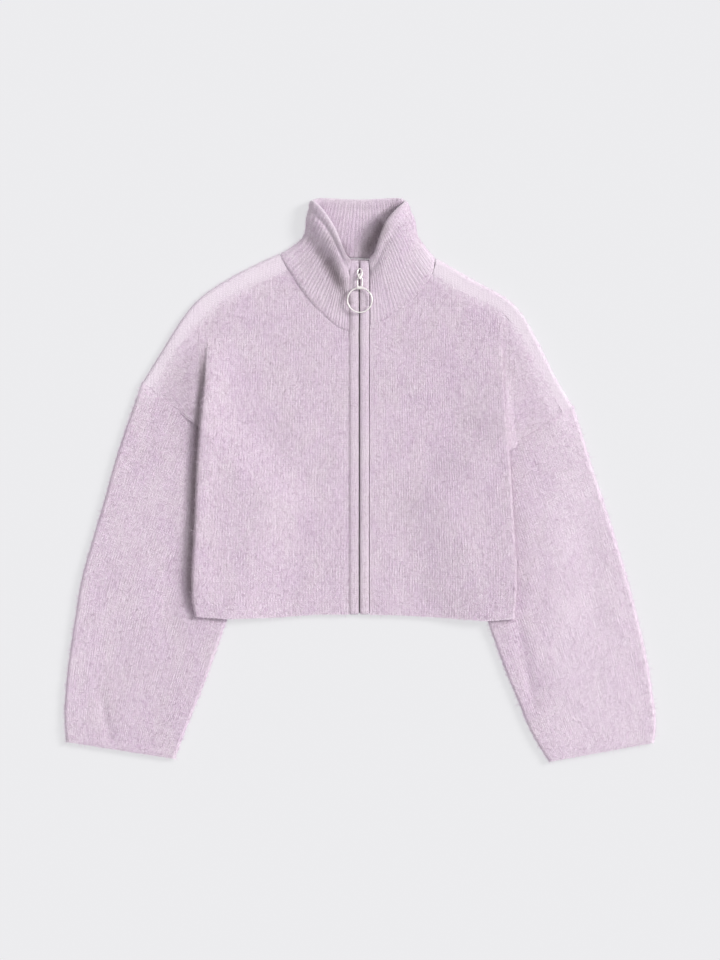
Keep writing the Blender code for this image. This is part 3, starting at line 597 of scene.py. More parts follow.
def stitch_uv(side, grid, body_cells, sizes):
    """Wales and courses: across by share in the body, square to the armhole past the fold."""
    rows, columns = grid.shape[:2]
    uv = np.zeros((rows, columns, 2))
    uv[:, :, 0] = np.arange(columns) / FINE
    uv[:, :, 1] = grid[:, :, 1] / sizes.course
    outer, inner, _ = ARMHOLE[side]
    run = np.array(inner, float) - outer
    run /= np.linalg.norm(run)
    away = grid[:, :, :2] - np.array(outer, float)
    along = away @ run
    square = away @ np.array([-run[1], run[0]])
    past = np.arange(columns) >= body_cells + TURNED_CELLS
    upper = np.arange(rows) <= UPPER_ROWS
    zone = upper[:, None] & past[None]
    uv[:, :, 0] = np.where(zone, square / sizes.wale, uv[:, :, 0])
    uv[:, :, 1] = np.where(zone, along / sizes.course, uv[:, :, 1])
    return uv


def build_front(side, sizes, surface):
    """One front panel as a thin wall with ridged columns on its outer skin."""
    grid, kept, body_cells = front_grid(side)
    x, y = grid[:, :, 0], grid[:, :, 1]
    inner_y = (y - HEM_Y + 4) / 40
    calm = smooth_step(np.abs(x - ZIP_X) / 50) * smooth_step(inner_y)
    columns = np.arange(grid.shape[1])
    on_body = np.clip((body_cells - columns) / 24.0, 0, 1)
    grid[:, :, 2] += 0.8 * calm * on_body * soft_waves(x, y, 11 + side, 85)
    inside = np.abs(fold_x(side, y) - x)
    high, below, over = FOLD_PUFF[side]
    down = (1 - smooth_step((y - below) / over)) * smooth_step((y + 190) / 60)
    grid[:, :, 2] += high * down * np.exp(-(inside / FOLD_PUFF_WIDTH) ** 2)
    from_top = np.linalg.norm(np.diff(grid[:5, :, :2], axis=0), axis=2).mean(axis=1)
    depth = np.zeros(len(grid))
    depth[:5] = np.exp(-(np.concatenate([[0], np.cumsum(from_top)]) / 3.5) ** 2)
    at_neck = 1 - smooth_step((np.abs(grid[0, :, 0]) - 90) / 12)
    grid[:, :, 2] -= depth[:, None] * (0.1 + 0.35 * at_neck)[None]
    grid[:, :, 0] += 0.55 * calm * on_body * soft_waves(x, y, 17 + side, 16)
    normal = -side * grid_normals(grid)
    ridge = cos_ridge(columns / FINE) * (columns <= body_cells)
    relief_and_gap_shade = (0.75 + 0.6 * soft_waves(x, y, 31 + side, 22)) * (1 - 0.5 * brushed(x, y))
    lift = CLOTH / 2 + sizes.relief * relief_and_gap_shade * ridge + lumps(grid.shape[:2], 211 + side)
    outer = grid + normal * lift[:, :, None]
    inner = grid - normal * CLOTH / 2
    uv = stitch_uv(side, grid, body_cells, sizes)
    made = shell(f"cloth_front_{SIDES[side]}", outer, inner, uv, surface, kept)
    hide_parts(f"front_{SIDES[side]}")
    return made, outer, normal, kept


# ---- the sleeves -------------------------------------------------------------
SLEEVE_WALES = 58
SLEEVE_ROWS = 128
# soft troughs pressed into the sleeves: start x, y, end x, y, half width, depth
TROUGHS = [(210, -176, 231, -300, 9, 1.6), (-352, -285, -339, -350, 7, 1.4),
           (-238, -70, -262, -190, 16, 0.9), (300, -60, 318, -200, 18, 0.8)]


def trough_depth(x, y):
    """Depth of the soft troughs: d exp(-(distance / width)^2), faded past each end."""
    total = np.zeros(x.shape)
    for *line, width, depth in TROUGHS:
        along, away, length = from_line(x, y, line)
        share = along / length
        fade = smooth_step((share + 0.25) / 0.5) * smooth_step((1.25 - share) / 0.4)
        total += depth * fade * np.exp(-(away / width) ** 2)
    return total


def build_sleeve(side, sizes, surface):
    """A flattened tube: two layers a CLOTH apart or more, joined by half turns.

    The top layer is lifted over the back by covered(x, y); ridges run along it.
    """
    top_cells, low_cells, turn_cells = SLEEVE_WALES * FINE, 56, 8
    share_row = np.linspace(-0.005, 1, SLEEVE_ROWS + 1)
    spine = curve_at(SLEEVE[side], share_row * (len(SLEEVE[side]) - 1))
    share_top = np.linspace(0, 1, top_cells + 1)
    share_low = np.linspace(0, 1, low_cells + 1)
    angles = np.radians(np.linspace(-90, 90, turn_cells + 1)[1:-1])
    outer, inner = [], []
    for row, spot in enumerate(spine):
        start, end = spot[:2], spot[2:]
        run = (end - start) / np.linalg.norm(end - start)
        inset = TUBE_REACH + CLOTH / 2
        ends = (start + run * inset, end - run * inset)
        bow = max(0.0, 1 - share_row[row] * 18 / 7)

        def layer(share):
            plan = armhole_point(side, share, bow, ends)
            cover = covered(side, plan[:, 0], plan[:, 1])
            low = FLOOR_MID + LAYER * cover
            return plan, low, low + LAYER + (LOFT_MID - FLOOR_MID - LAYER) * (1 - cover)

        plan_top, _, high = layer(share_top)
        plan_low, low, _ = layer(share_low)
        _, low_ends, high_ends = layer(np.array([0.0, 1.0]))
        sides_of = {}
        for skin, grow in (("outer", CLOTH / 2), ("inner", -CLOTH / 2)):
            turned = []
            for which, way, order in ((0, -run, angles), (1, run, angles[::-1])):
                middle = (low_ends[which] + high_ends[which]) / 2
                rise = (high_ends[which] - low_ends[which]) / 2
                reach = (TUBE_REACH + grow) * np.cos(order)[:, None] * way
                turned.append(np.column_stack([ends[which] + reach,
                                               middle + (rise + grow) * np.sin(order)]))
            sides_of[skin] = np.vstack([np.column_stack([plan_low, low - grow])[::-1], turned[0],
                                        np.column_stack([plan_top, high + grow]), turned[1]])
        outer.append(sides_of["outer"])
        inner.append(sides_of["inner"])
    outer, inner = np.array(outer), np.array(inner)
    first = low_cells + 1 + turn_cells - 1
    top = slice(first, first + top_cells + 1)
    x, y = outer[:, top, 0], outer[:, top, 1]
    length = np.concatenate([[0], np.cumsum(np.linalg.norm(
        np.diff(outer[:, first + top_cells // 2, :2], axis=0), axis=1))])
    to_cuff = length[-1] - length
    welt = smooth_step((to_cuff - 7) / 4)[:, None]
    edge = smooth_step(np.minimum(share_top, 1 - share_top) / 0.12)[None]
    wave = edge * soft_waves(x, y, 51 + side, 95) * smooth_step(to_cuff / 60)[:, None]
    relief_and_gap_shade = (0.75 + 0.6 * soft_waves(x, y, 71 + side, 22)) * (1 - 0.5 * brushed(x, y))
    seamed = smooth_step(length / 5)[:, None]
    lift = sizes.relief * relief_and_gap_shade * cos_ridge(np.arange(top_cells + 1) / FINE)[None] * welt * seamed
    bead = 0.5 * (1 - welt) * smooth_step(to_cuff / 1.5)[:, None]
    inside = side * (fold_x(side, y) - x)
    pressed = 0.9 * np.exp(-((inside + 4) / 12) ** 2) * (y < (190 if side < 0 else 60)) * (y > -178)
    lift = lift + lumps(x.shape, 231 + side) * welt * seamed
    outer[:, top, 2] += wave + lift + bead - trough_depth(x, y) * edge - pressed
    outer[:2, top, 2] -= np.array([0.5, 0.2])[:, None]
    inner[:, top, 2] += wave - trough_depth(x, y) * edge
    uv = np.zeros(outer.shape[:2] + (2,))
    ring = np.arange(outer.shape[1])
    across = np.interp(ring, [0, low_cells, first, first + top_cells, outer.shape[1] - 1],
                       [-SLEEVE_WALES - 2, -2, 0, SLEEVE_WALES, SLEEVE_WALES + 2])
    uv[:, :, 0] = across[None]
    uv[:, :, 1] = -length[:, None] / sizes.course
    made = shell(f"cloth_sleeve_{SIDES[side]}", outer, inner, uv, surface, wrap=True)
    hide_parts(f"sleeve_{SIDES[side]}")
    seen = outer[:, first - turn_cells:first + top_cells + turn_cells + 1]
    normal = side * grid_normals(seen)
    return made, seen, normal


# ---- the back ------------------------------------------------------------------
BACK_SPAN = 64                          # fine columns from neck to fold, and fold to corner
NECK_COLUMNS = 64                       # along the back neck
BRIDGE = 4                              # columns that join the neck to each shoulder
SEAM_ROWS = 8                           # from the forward seam to the half turn
TURN_ROWS = 8                           # round the half turn
YOKE_ROWS = SEAM_ROWS + TURN_ROWS
LONG_ROWS = 24                          # down to the armhole, and again to the hem
BACK_INSET = 1.5                        # how far the back keeps inside the body's fold


def back_side(side):
    """Columns of one side from neck (first) to corner: seam, start, way out, middle, low x."""
    places = np.concatenate([np.linspace(0, FOLD_PLACE, BACK_SPAN + 1),
                             np.linspace(FOLD_PLACE, CORNER_PLACE, BACK_SPAN + 1)[1:]])
    edge = curve_at(SHOULDER_EDGE[side], places)
    seam = curve_at(SHOULDER_SEAM[side], places)
    for line in (seam, edge):
        way = line[0] - line[1]
        line += 1.7 * way / np.linalg.norm(way) * np.clip(1 - places / 0.4, 0, 1)[:, None]
    inward = seam - edge
    inward /= np.linalg.norm(inward, axis=1, keepdims=True)
    start = edge + inward * (TUBE_REACH + CLOTH / 2)
    crossing = armhole_crossing(side)
    past = np.clip((places - FOLD_PLACE) / (CORNER_PLACE - FOLD_PLACE), 0, 1)
    drop = armhole_point(side, crossing + (0.045 - crossing) * past)
    cross_y = armhole_point(side, crossing)[1]
    share = start[:, 0] / fold_x(side, 226)
    within = places <= FOLD_PLACE
    middle_x = np.where(within, share * (fold_x(side, cross_y) - side * BACK_INSET),
                        drop[:, 0] - side * BACK_INSET * np.clip(1 - past * 8, 0, 1))
    middle_y = np.where(within, cross_y, drop[:, 1]) + 0.7
    low_x = np.where(within, share, 1.0) * (fold_x(side, HEM_Y) - side * BACK_INSET)
    return seam, start, -inward, np.stack([middle_x, middle_y], axis=1), low_x


def build_back(sizes, surface):
    """The back: rows run over the shoulder by half an ellipse, then along the table."""
    sides = {side: back_side(side) for side in (-1, 1)}
    neck = curve_at(COLLAR, np.linspace(7, 9, NECK_COLUMNS + 1))[:, :2] - np.array([0, 1.0])
    low_side = [part[::-1] for part in sides[-1]]
    high_side = list(sides[1])
    low_end, high_end = low_side[3][-1], high_side[3][0]
    share = ((neck[:, 0] - low_end[0]) / (high_end[0] - low_end[0]))[:, None]
    hold, way = (np.repeat(low_side[k][-1:], NECK_COLUMNS + 1, axis=0) for k in (0, 2))
    neck_middle = low_end * (1 - share) + high_end * share
    middle_part = [hold, neck, way, neck_middle, neck[:, 0]]
    steps = np.arange(1, BRIDGE) / BRIDGE
    columns = []
    for a, b, c in zip(low_side, middle_part, high_side):
        bridge = [first[-1:] + (second[:1] - first[-1:])
                  * steps.reshape((-1,) + (1,) * (a.ndim - 1))
                  for first, second in ((a, b), (b, c))]
        columns.append(np.concatenate([a, bridge[0], b, bridge[1], c]))
    seam, start, way, middle, low_x = columns
    count = len(seam)
    low = np.stack([low_x, lookup(HEM, low_x) + 2.0], axis=1)
    rows = {"outer": [], "inner": []}
    for skin, grow in (("outer", CLOTH / 2), ("inner", -CLOTH / 2)):
        for t in np.arange(SEAM_ROWS) / SEAM_ROWS:
            plan = seam * (1 - t) + start * t
            rows[skin].append(np.column_stack([plan, np.full(count, LOFT_MID + grow)]))
        rise = (LOFT_MID - FLOOR_MID) / 2
        for angle in np.radians(np.linspace(90, -90, TURN_ROWS + 1)):
            plan = start + way * (TUBE_REACH + grow) * math.cos(angle)
            z = (LOFT_MID + FLOOR_MID) / 2 + (rise + grow) * math.sin(angle)
            rows[skin].append(np.column_stack([plan, np.full(count, z)]))
        for a, b in ((start, middle), (middle, low)):
            for t in np.linspace(0, 1, LONG_ROWS + 1)[1:]:
                rows[skin].append(np.column_stack([a * (1 - t) + b * t,
                                                   np.full(count, FLOOR_MID - grow)]))
    outer, inner = np.array(rows["outer"]), np.array(rows["inner"])
    cells = np.arange(count - 1)
    shoulder = (cells < 2 * BACK_SPAN) | (cells >= count - 1 - 2 * BACK_SPAN)
    body = (cells >= BACK_SPAN) & (cells < count - 1 - BACK_SPAN)
    kept = np.ones((len(outer) - 1, count - 1), bool)
    kept[:YOKE_ROWS] = shoulder[None]
    kept[YOKE_ROWS + LONG_ROWS:] = body[None]
    uv = np.zeros(outer.shape[:2] + (2,))
    uv[:, :, 0] = outer[:, :, 0] / sizes.wale
    run = np.linalg.norm(np.diff(outer, axis=0), axis=2)
    uv[1:, :, 1] = np.cumsum(run, axis=0) / sizes.course
    made = shell("cloth_back", outer, inner, uv, surface, kept)
    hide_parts("back")
    normal = -grid_normals(outer)
    return made, outer, normal, kept


# ---- collar and bands -------------------------------------------------------------
def superellipse(turn, power_x, power_y):
    """Rounded section of half size 1: sign(cos t) |cos t|^p and sign(sin t) |sin t|^q."""
    wide, high = np.cos(turn), np.sin(turn)
    return np.sign(wide) * np.abs(wide) ** power_x, np.sign(high) * np.abs(high) ** power_y


def tube(name, rings, surface, uv=None, body=ROOT, closed=False):
    """Join rings of points (stations, around, 3) into a tube: closed, or capped by fans."""
    stations, around = rings.shape[:2]
    if uv is None:
        uv = np.zeros((stations, around, 2))
    column = np.arange(around)
    after = (column + 1) % around
    low = np.arange(stations if closed else stations - 1)[:, None] * around
    high = (low + around) % (stations * around)
    quads = np.stack([low + column, low + after, high + after, high + column],
                     axis=2).reshape(-1, 4)
    points = rings.reshape(-1, 3)
    flat_uv = uv.reshape(-1, 2)
    parts = [quads]
    if not closed:
        size = len(points)
        points = np.concatenate([points, rings[[0, -1]].mean(axis=1)])
        flat_uv = np.concatenate([flat_uv, uv[[0, -1]].mean(axis=1)])
        last = (stations - 1) * around
        parts.append(np.concatenate([
            np.stack([after, column, np.full(around, size)], axis=1),
            np.stack([last + column, last + after, np.full(around, size + 1)], axis=1)]))
    if enclosed(points, quads) < 0:
        parts = [part[:, ::-1] for part in parts]
    made = put_mesh(name, points, parts, surface, flat_uv, body)
    return made


RIB_FINE = 6                            # fine columns to one rib


def build_collar(sizes, surface):
    """The ribbed collar as one closed section carried round the neck.

    Wall's middle: a Catmull-Rom curve through seam, valley, crest and rim of each
    station; both faces stand half a wall off it, with ribs (1 + cos 2 pi u) / 2.
    """
    columns, out_rows, in_rows, turn_rows = RIBS * RIB_FINE + 1, 34, 26, 6
    valley = np.array(COLLAR, float)[:, 3:6]
    length = np.concatenate([[0], np.cumsum(np.linalg.norm(np.diff(valley, axis=0), axis=1))])
    places = np.interp(np.linspace(0, length[-1], columns), length, np.arange(len(COLLAR)))
    keys = np.swapaxes(curve_at(COLLAR, places).reshape(columns, 4, 3), 0, 1)

    def normals(grid):
        normal = -grid_normals(grid)
        normal[0, :, :2] *= 0.3
        normal[:, [0, -1], 0] = 0
        return normal / np.linalg.norm(normal, axis=2, keepdims=True)

    rib = np.arange(columns) / RIB_FINE
    stray = np.random.default_rng(97).normal(0, 1, (2, RIBS + 2))
    drift = np.interp(rib, np.arange(RIBS + 2), stray[0])
    strong = 1 + 0.22 * np.clip(np.interp(rib, np.arange(RIBS + 2), stray[1]), -1.6, 1.6)
    half = COLLAR_WALL / 2
    skins = {}
    for sign, rows in ((1, out_rows), (-1, in_rows)):
        t = np.linspace(0, 1, rows + 1)
        grid = curve_at(keys, 3 * t)
        wave = 0.5 * soft_waves(grid[:, :, 0], grid[:, :, 1], 91, 60)[:, :, None]
        normal = normals(grid)
        grid = grid + normal * wave * smooth_step(np.minimum(t, 1 - t) / 0.3)[:, None, None]
        fade = (smooth_step((t + 0.02) / 0.06) * smooth_step((1.04 - t) / 0.10))[:, None, None]
        bead = (RIM_BEAD * smooth_step((t - 0.84) / 0.11))[:, None, None]
        if sign > 0:
            grid[:, :, 2] -= (1.1 * np.exp(-((t - 0.82) / 0.045) ** 2))[:, None]
        bent = 0.13 * drift[None] + 0.16 * soft_waves(grid[:, :, 0], grid[:, :, 1], 93, 14)
        ridge = (strong[None] * cos_ridge(rib[None] + 0.5 + bent))[:, :, None]
        grid[:, :, 2] -= (0.6 * np.exp(-(t * COLLAR_HIGH / 3.5) ** 2))[:, None]
        up = normal[:, :, 2:3] * sign
        calmer = 1 - 0.4 * smooth_step((grid[:, :, :1] + 20) / 40) if sign > 0 else 0.65
        relief = sizes.rib_relief * calmer * fade * ridge
        relief = relief * (0.35 + 0.65 * smooth_step(up * 2 + 1))
        skins[sign] = grid + sign * normal * (half + bead + relief - 0.25 * fade)
        if sign > 0:
            edge_normal = normal[-1]
            edge_way = grid[-1] - grid[-2]
            edge_way /= np.linalg.norm(edge_way, axis=1, keepdims=True)
            centre = grid[-1]
    reach = half + RIM_BEAD
    arc = [centre + reach * (edge_normal * math.cos(a) + edge_way * math.sin(a))
           for a in np.linspace(0, math.pi, turn_rows + 1)[1:-1]]
    section = np.concatenate([skins[1], np.array(arc), skins[-1][::-1]])
    section[:, :, 2] = np.maximum(section[:, :, 2], 0.05)
    rows = len(section)
    uv = np.zeros((columns, rows, 2))
    uv[:, :, 0] = rib[:, None]
    run = np.linalg.norm(np.diff(section, axis=0), axis=2).mean(axis=1)
    uv[:, :, 1] = np.concatenate([[0], np.cumsum(run)])[None] / sizes.course
    rings = np.swapaxes(section, 0, 1)
    made = tube("cloth_collar", rings, surface, uv)
    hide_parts("collar")
    normal = normals(skins[1])
    inner_normal = -normals(skins[-1])
    return made, (skins[1], normal), (skins[-1], inner_normal)


def build_band(side, sizes, surface):
    """A knitted tube beside the zip: superellipse section, rounded at both ends."""
    around, stations = 20, 340
    turn = np.linspace(0, 2 * math.pi, around, endpoint=False)
    width, thick = superellipse(turn, 0.75, 0.75)
    y = np.linspace(HEM_Y, COLLAR_TOP_Y, stations)
    end = np.minimum(y - HEM_Y, COLLAR_TOP_Y - y)
    round_end = np.sqrt(np.clip(1 - (1 - np.clip(end / 3.0, 0, 1)) ** 2, 0.02, 1))
    centre = ZIP_X + side * (ZIP_GAP + BAND_WIDTH) / 2
    slow = 0.25 * soft_waves(y, 0 * y, 131 + side, 60)
    stitch = 0.12 * np.cos(2 * math.pi * y / sizes.course)[:, None]
    half_width = (BAND_WIDTH / 2 + slow * 0.4)[:, None] + stitch * np.abs(np.cos(turn))[None]
    half_thick = (BAND_THICK / 2 + slow * 0.3)[:, None] + stitch * np.abs(np.sin(turn))[None]
    wide = (half_width + 0.25) * (0.7 + 0.3 * round_end)[:, None]
    way = (0.35 * soft_waves(y, 0 * y, 137, 45) - 0.7)[:, None]
    x = centre - side * 0.3 + way + width[None] * wide
    z = band_mid(y)[:, None] + thick[None] * half_thick * round_end[:, None]
    rings = np.stack([x, np.repeat(y[:, None], around, axis=1), z], axis=2)
    uv = np.zeros((stations, around, 2))
    uv[:, :, 0] = np.arange(around)[None] * 8.0 / around
    uv[:, :, 1] = y[:, None] / sizes.course
    made = tube(f"cloth_band_{SIDES[side]}", rings, surface, uv)
    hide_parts(f"band_{SIDES[side]}")
    upper = turn[:around // 2 + 1]
    normal = np.stack([np.cos(upper), 0 * upper, np.sin(upper)], axis=1)
    return made, rings[:, :len(upper)], np.repeat(normal[None], stations, axis=0)


# ---- zip ---------------------------------------------------------------------------
# height at which the ring lies and the link turns
PULL_LEVEL = float(band_mid(PULL_Y)) + BAND_THICK / 2 + PULL_GAP + PLATE_THICK + PIN_LIFT


def build_tape(side, surface):
    """The woven tape beside the teeth: a flat rounded strip."""
    around = 8
    drop = BAND_THICK / 2 + TAPE_GAP + TAPE_HALF_THICK
    y = np.linspace(HEM_Y + 2, COLLAR_TOP_Y - 5, 120)
    turn = np.linspace(0, 2 * math.pi, around, endpoint=False) + math.pi / around
    wide, thick = superellipse(turn, 0.3, 0.5)
    x = ZIP_X + side * (TAPE_EDGE + TAPE_HALF) + TAPE_HALF * wide
    z = band_mid(y)[:, None] - drop + TAPE_HALF_THICK * thick[None]
    rings = np.stack(np.broadcast_arrays(x[None], y[:, None], z), axis=2)
    uv = np.stack(np.broadcast_arrays(np.arange(around)[None] * 1.2, y[:, None]), axis=2)
    made = tube(f"tape_{SIDES[side]}", rings, surface, uv)
    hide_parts(f"zip_tape_{SIDES[side]}")
    return made


def build_teeth(surface):
    """The coil: one small ellipsoid per tooth, laid from each side in turn."""
    around, levels = 8, 4
    y = np.arange(HEM_Y + 4, COLLAR_TOP_Y - 9, TOOTH_PITCH)
    side = np.where(np.arange(len(y)) % 2 == 0, 1.0, -1.0)
    drop = BAND_THICK / 2 + TOOTH_DROP
    theta = np.linspace(0, 2 * math.pi, around, endpoint=False)
    phi = np.linspace(0, math.pi, levels + 1)[1:-1]
    unit = np.array([(math.cos(p), math.sin(p) * math.cos(t), math.sin(p) * math.sin(t))
                     for p in phi for t in theta] + [(1, 0, 0), (-1, 0, 0)])
    centre = np.stack([ZIP_X + side * TOOTH_ASIDE, y, band_mid(y) - drop], axis=1)
    points = (centre[:, None] + unit[None] * np.array(TOOTH_HALF)).reshape(-1, 3)
    ring = np.arange(around)
    after = (ring + 1) % around
    squares = np.concatenate([np.stack([k * around + ring, k * around + after,
                                        (k + 1) * around + after, (k + 1) * around + ring],
                                       axis=1) for k in range(len(phi) - 1)])
    first, last = len(unit) - 2, len(unit) - 1
    low = (len(phi) - 1) * around
    fans = np.concatenate([np.stack([np.full(around, first), after, ring], axis=1),
                           np.stack([np.full(around, last), low + ring, low + after], axis=1)])
    base = np.arange(len(y))[:, None, None] * len(unit)
    parts = [(squares[None] + base).reshape(-1, 4), (fans[None] + base).reshape(-1, 3)]
    made = put_mesh("zip_coil", points, parts, surface)
    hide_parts("zip_teeth")
    return made


def build_ring(level, surface):
    """The pull ring: a round wire swept round a circle in the plan."""
    around = np.linspace(0, 2 * math.pi, 160, endpoint=False)[:, None]
    turn = np.linspace(0, 2 * math.pi, 20, endpoint=False)[None]
    radius = RING_RADIUS + WIRE * np.cos(turn)
    x = ZIP_X + np.cos(around) * radius
    y = RING_TOP_Y - RING_RADIUS + np.sin(around) * radius
    z = level + WIRE * np.sin(turn) + 0 * around
    made = tube("wire_ring", np.stack([x, y, z], axis=2), surface, body="ring",
                closed=True)
    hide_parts("pull_ring")
    return made


def build_slider(level, surface):
    """The slider: an oval loop standing over a small rounded body on the coil.

    Loop: wire round the oval (LOOP_HALF[0] k cos a, LOOP_HALF[1] sin a), k from 0.55
    at its lower end to 1; it lies on the bands above and rises over the link's bar
    below.  Body: an ellipsoid with the half sizes SLIDER_HALF, cut flat above and below.
    """
    around = np.linspace(0, 2 * math.pi, 96, endpoint=False)[:, None]
    turn = np.linspace(0, 2 * math.pi, 16, endpoint=False)[None]
    full = 0.55 + 0.45 * smooth_step(np.sin(around) + 0.75)
    x = ZIP_X + np.cos(around) * (LOOP_HALF[0] * full + WIRE * np.cos(turn))
    y = LOOP_Y + np.sin(around) * (LOOP_HALF[1] + WIRE * np.cos(turn))
    z = level + 0.1 - LOOP_SLOPE * np.sin(around) + WIRE * np.sin(turn)
    loop = tube("slider_loop", np.stack([x, y, z], axis=2), surface, closed=True)
    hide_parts("slider")
    height = np.linspace(-1.35, 1.35, 16)[:, None]
    x = ZIP_X + SLIDER_HALF[0] * np.cos(height) * np.cos(turn)
    y = SLIDER_Y + SLIDER_HALF[1] * np.cos(height) * np.sin(turn)
    z = level - SLIDER_DROP + SLIDER_HALF[2] * np.sin(height) + 0 * turn
    body = tube("slider_body", np.stack([x, y, z], axis=2), surface)
    return loop, body


# ---- nap: brushed hair on the cloth -----------------------------------------------
def grow_hair(name, patches, sizes, surface, seed, density=1.0, length_scale=1.0):
    """Tapered locks of three triangles each, scattered evenly over the patches.

    A lock starts on the skin, runs in a random direction that leans along the
    slow waves of the cloth, and bends: p(s) = root + L (s d + s^2 b) + lift(s) n.
    """
    rng = np.random.default_rng(seed)
    roots, ups, firsts = [], [], []
    for grid, normal, mask in patches:
        corner = grid[:-1, :-1], grid[:-1, 1:], grid[1:, 1:], grid[1:, :-1]
        area = 0.5 * np.linalg.norm(np.cross(corner[2] - corner[0], corner[3] - corner[1]), axis=2)
        if mask is not None:
            area = area * mask
        edge_on = 1 - np.abs(normal[:-1, :-1, 2])
        area = area * (0.75 + 0.3 * brushed(grid[:-1, :-1, 0], grid[:-1, :-1, 1])
                       + 0.5 * smooth_step(edge_on * 1.6))
        total = area.sum()
        count = int(total / 1000 * sizes.hair_count * density)
        edges = np.cumsum(area.ravel()) / total
        cell = np.searchsorted(edges, (np.arange(count) + rng.random(count)) / count)
        row, column = np.unravel_index(np.minimum(cell, area.size - 1), area.shape)
        s, t = rng.random((2, count, 1))
        roots.append(grid[row, column] * (1 - s) * (1 - t) + grid[row, column + 1] * s * (1 - t)
                     + grid[row + 1, column] * (1 - s) * t + grid[row + 1, column + 1] * s * t)
        ups.append(normal[row, column])
        along = grid[row + 1, column] - grid[row, column]
        along /= np.maximum(np.linalg.norm(along, axis=1, keepdims=True), 1e-9)
        firsts.append(along)
    root, up, first = (np.concatenate(part) for part in (roots, ups, firsts))
    second = np.cross(up, first)
    count = len(root)
    lean = 2.2 * soft_waves(root[:, 0], root[:, 1], seed + 7, 60)
    angle = rng.uniform(-math.pi, math.pi, count) + lean
    way = first * np.cos(angle)[:, None] + second * np.sin(angle)[:, None]
    aside = np.cross(up, way)
    length = sizes.hair_length * length_scale * np.clip(rng.lognormal(-0.1, 0.4, count), 0.3, 1.8)
    bend = rng.normal(0, 0.45, count)
    rise = np.abs(rng.normal(0.16, 0.16, count)) + 0.06
    width = sizes.hair_width * rng.uniform(0.6, 1.3, count)

    def point(share):
        reach = (length * share)[:, None]
        return (root + way * reach + aside * reach * (bend * share)[:, None]
                + up * (reach * (rise * (1 - 0.45 * share))[:, None] - 0.05))

    middle, tip = point(0.55), point(1.0)
    foot = point(0.0)
    half = (width / 2)[:, None]
    points = np.stack([foot - aside * half, foot + aside * half, middle + aside * half * 0.8,
                       middle - aside * half * 0.8, tip], axis=1)
    points[:, :, 2] = np.maximum(points[:, :, 2], 0.3)
    base = np.arange(count)[:, None] * 5
    squares = base + np.array([[0, 1, 2, 3]])
    triangles = base + np.array([[3, 2, 4]])
    shade = np.repeat(rng.random(count), 5)
    # each lock's colour follows the nap density with its painted light, and the painted shade of
    # creases and folds
    nap_and_painted_light = np.repeat(brushed(root[:, 0], root[:, 1]), 5)
    painted_dark = np.repeat(painted_shade(root[:, 0], root[:, 1]), 5)
    made = put_mesh(name, points.reshape(-1, 3), [squares, triangles], surface,
                    smooth=False,
                    attributes={"shade": shade, "brushed": nap_and_painted_light, "painted_shade": painted_dark})
    return made


# ---- materials ----------------------------------------------------------------------
class NodeSheet:
    """Short-hand for adding linked nodes to one node tree."""

    def __init__(self, tree):
        self.tree = tree

    def add(self, kind, inputs=None, **settings):
        """Add a node, set its properties, and link or set its inputs."""
        node = self.tree.nodes.new(kind)
        for key, value in settings.items():
            setattr(node, key, value)
        for key, value in (inputs or {}).items():
            socket = node.inputs[key]
            if isinstance(value, bpy.types.NodeSocket):
                self.tree.links.new(value, socket)
            elif value is not None:
                socket.default_value = value
        return node

    def math(self, operation, a, b=None, c=None):
        """One math node; returns its result."""
        inputs = {0: a, 1: b, 2: c}
        return self.add("ShaderNodeMath", inputs, operation=operation).outputs[0]

    def mix(self, factor, a, b, blend="MIX"):
        """Mix two colours; returns the result."""
        node = self.add("ShaderNodeMix", {"Factor": factor}, data_type="RGBA", blend_type=blend)
        for socket, value in ((node.inputs[6], a), (node.inputs[7], b)):
            if isinstance(value, bpy.types.NodeSocket):
                self.tree.links.new(value, socket)
            else:
                socket.default_value = (*value, 1.0) if len(value) == 3 else value
        return node.outputs[2]

    def attribute(self, label):
        """One value that the mesh holds at its vertices."""
        return self.add("ShaderNodeAttribute", attribute_name=label).outputs["Fac"]

    def spread(self, value, low, high, to_low=0.0, to_high=1.0):
        """Map a range of values to another, clamped."""
        return self.add("ShaderNodeMapRange", {0: value, 1: low, 2: high, 3: to_low, 4: to_high}
                        ).outputs[0]

    def noise(self, vector, scale, detail=2.0, roughness=0.5):
        """Noise texture value."""
        return self.add("ShaderNodeTexNoise", {"Vector": vector, "Scale": scale, "Detail": detail,
                                               "Roughness": roughness}).outputs[0]


def stitch_group():
    """Height and gap of plain knitting at (wale, course): two slanted legs to a stitch."""
    group = bpy.data.node_groups.new("plain_knit", "ShaderNodeTree")
    group.interface.new_socket("Place", in_out="INPUT", socket_type="NodeSocketVector")
    group.interface.new_socket("Height", in_out="OUTPUT", socket_type="NodeSocketFloat")
    group.interface.new_socket("Gap", in_out="OUTPUT", socket_type="NodeSocketFloat")
    n = NodeSheet(group)
    place = n.add("NodeGroupInput").outputs[0]
    apart = n.add("ShaderNodeSeparateXYZ", {0: place})
    wale, course = apart.outputs[0], apart.outputs[1]
    inside = n.math("ABSOLUTE", n.math("SUBTRACT", n.math("FRACT", n.math("ADD", wale, 0.5)), 0.5))
    slant = n.math("MULTIPLY", inside, 1.5)
    leg = n.math("COSINE", n.math("MULTIPLY", n.math("ADD", course, slant), 2 * math.pi))
    crown = n.math("COSINE", n.math("MULTIPLY", n.math("SUBTRACT", inside, 0.22), 2 * math.pi))
    body = n.math("MULTIPLY_ADD", crown, 0.5, 0.5)
    rows = n.math("MULTIPLY_ADD", leg, 0.24, 0.76)
    height = n.math("MULTIPLY", body, rows)
    gap = n.math("POWER", n.math("SUBTRACT", 1.0, height), 2.0)
    n.add("NodeGroupOutput", {0: height, 1: gap})
    return group


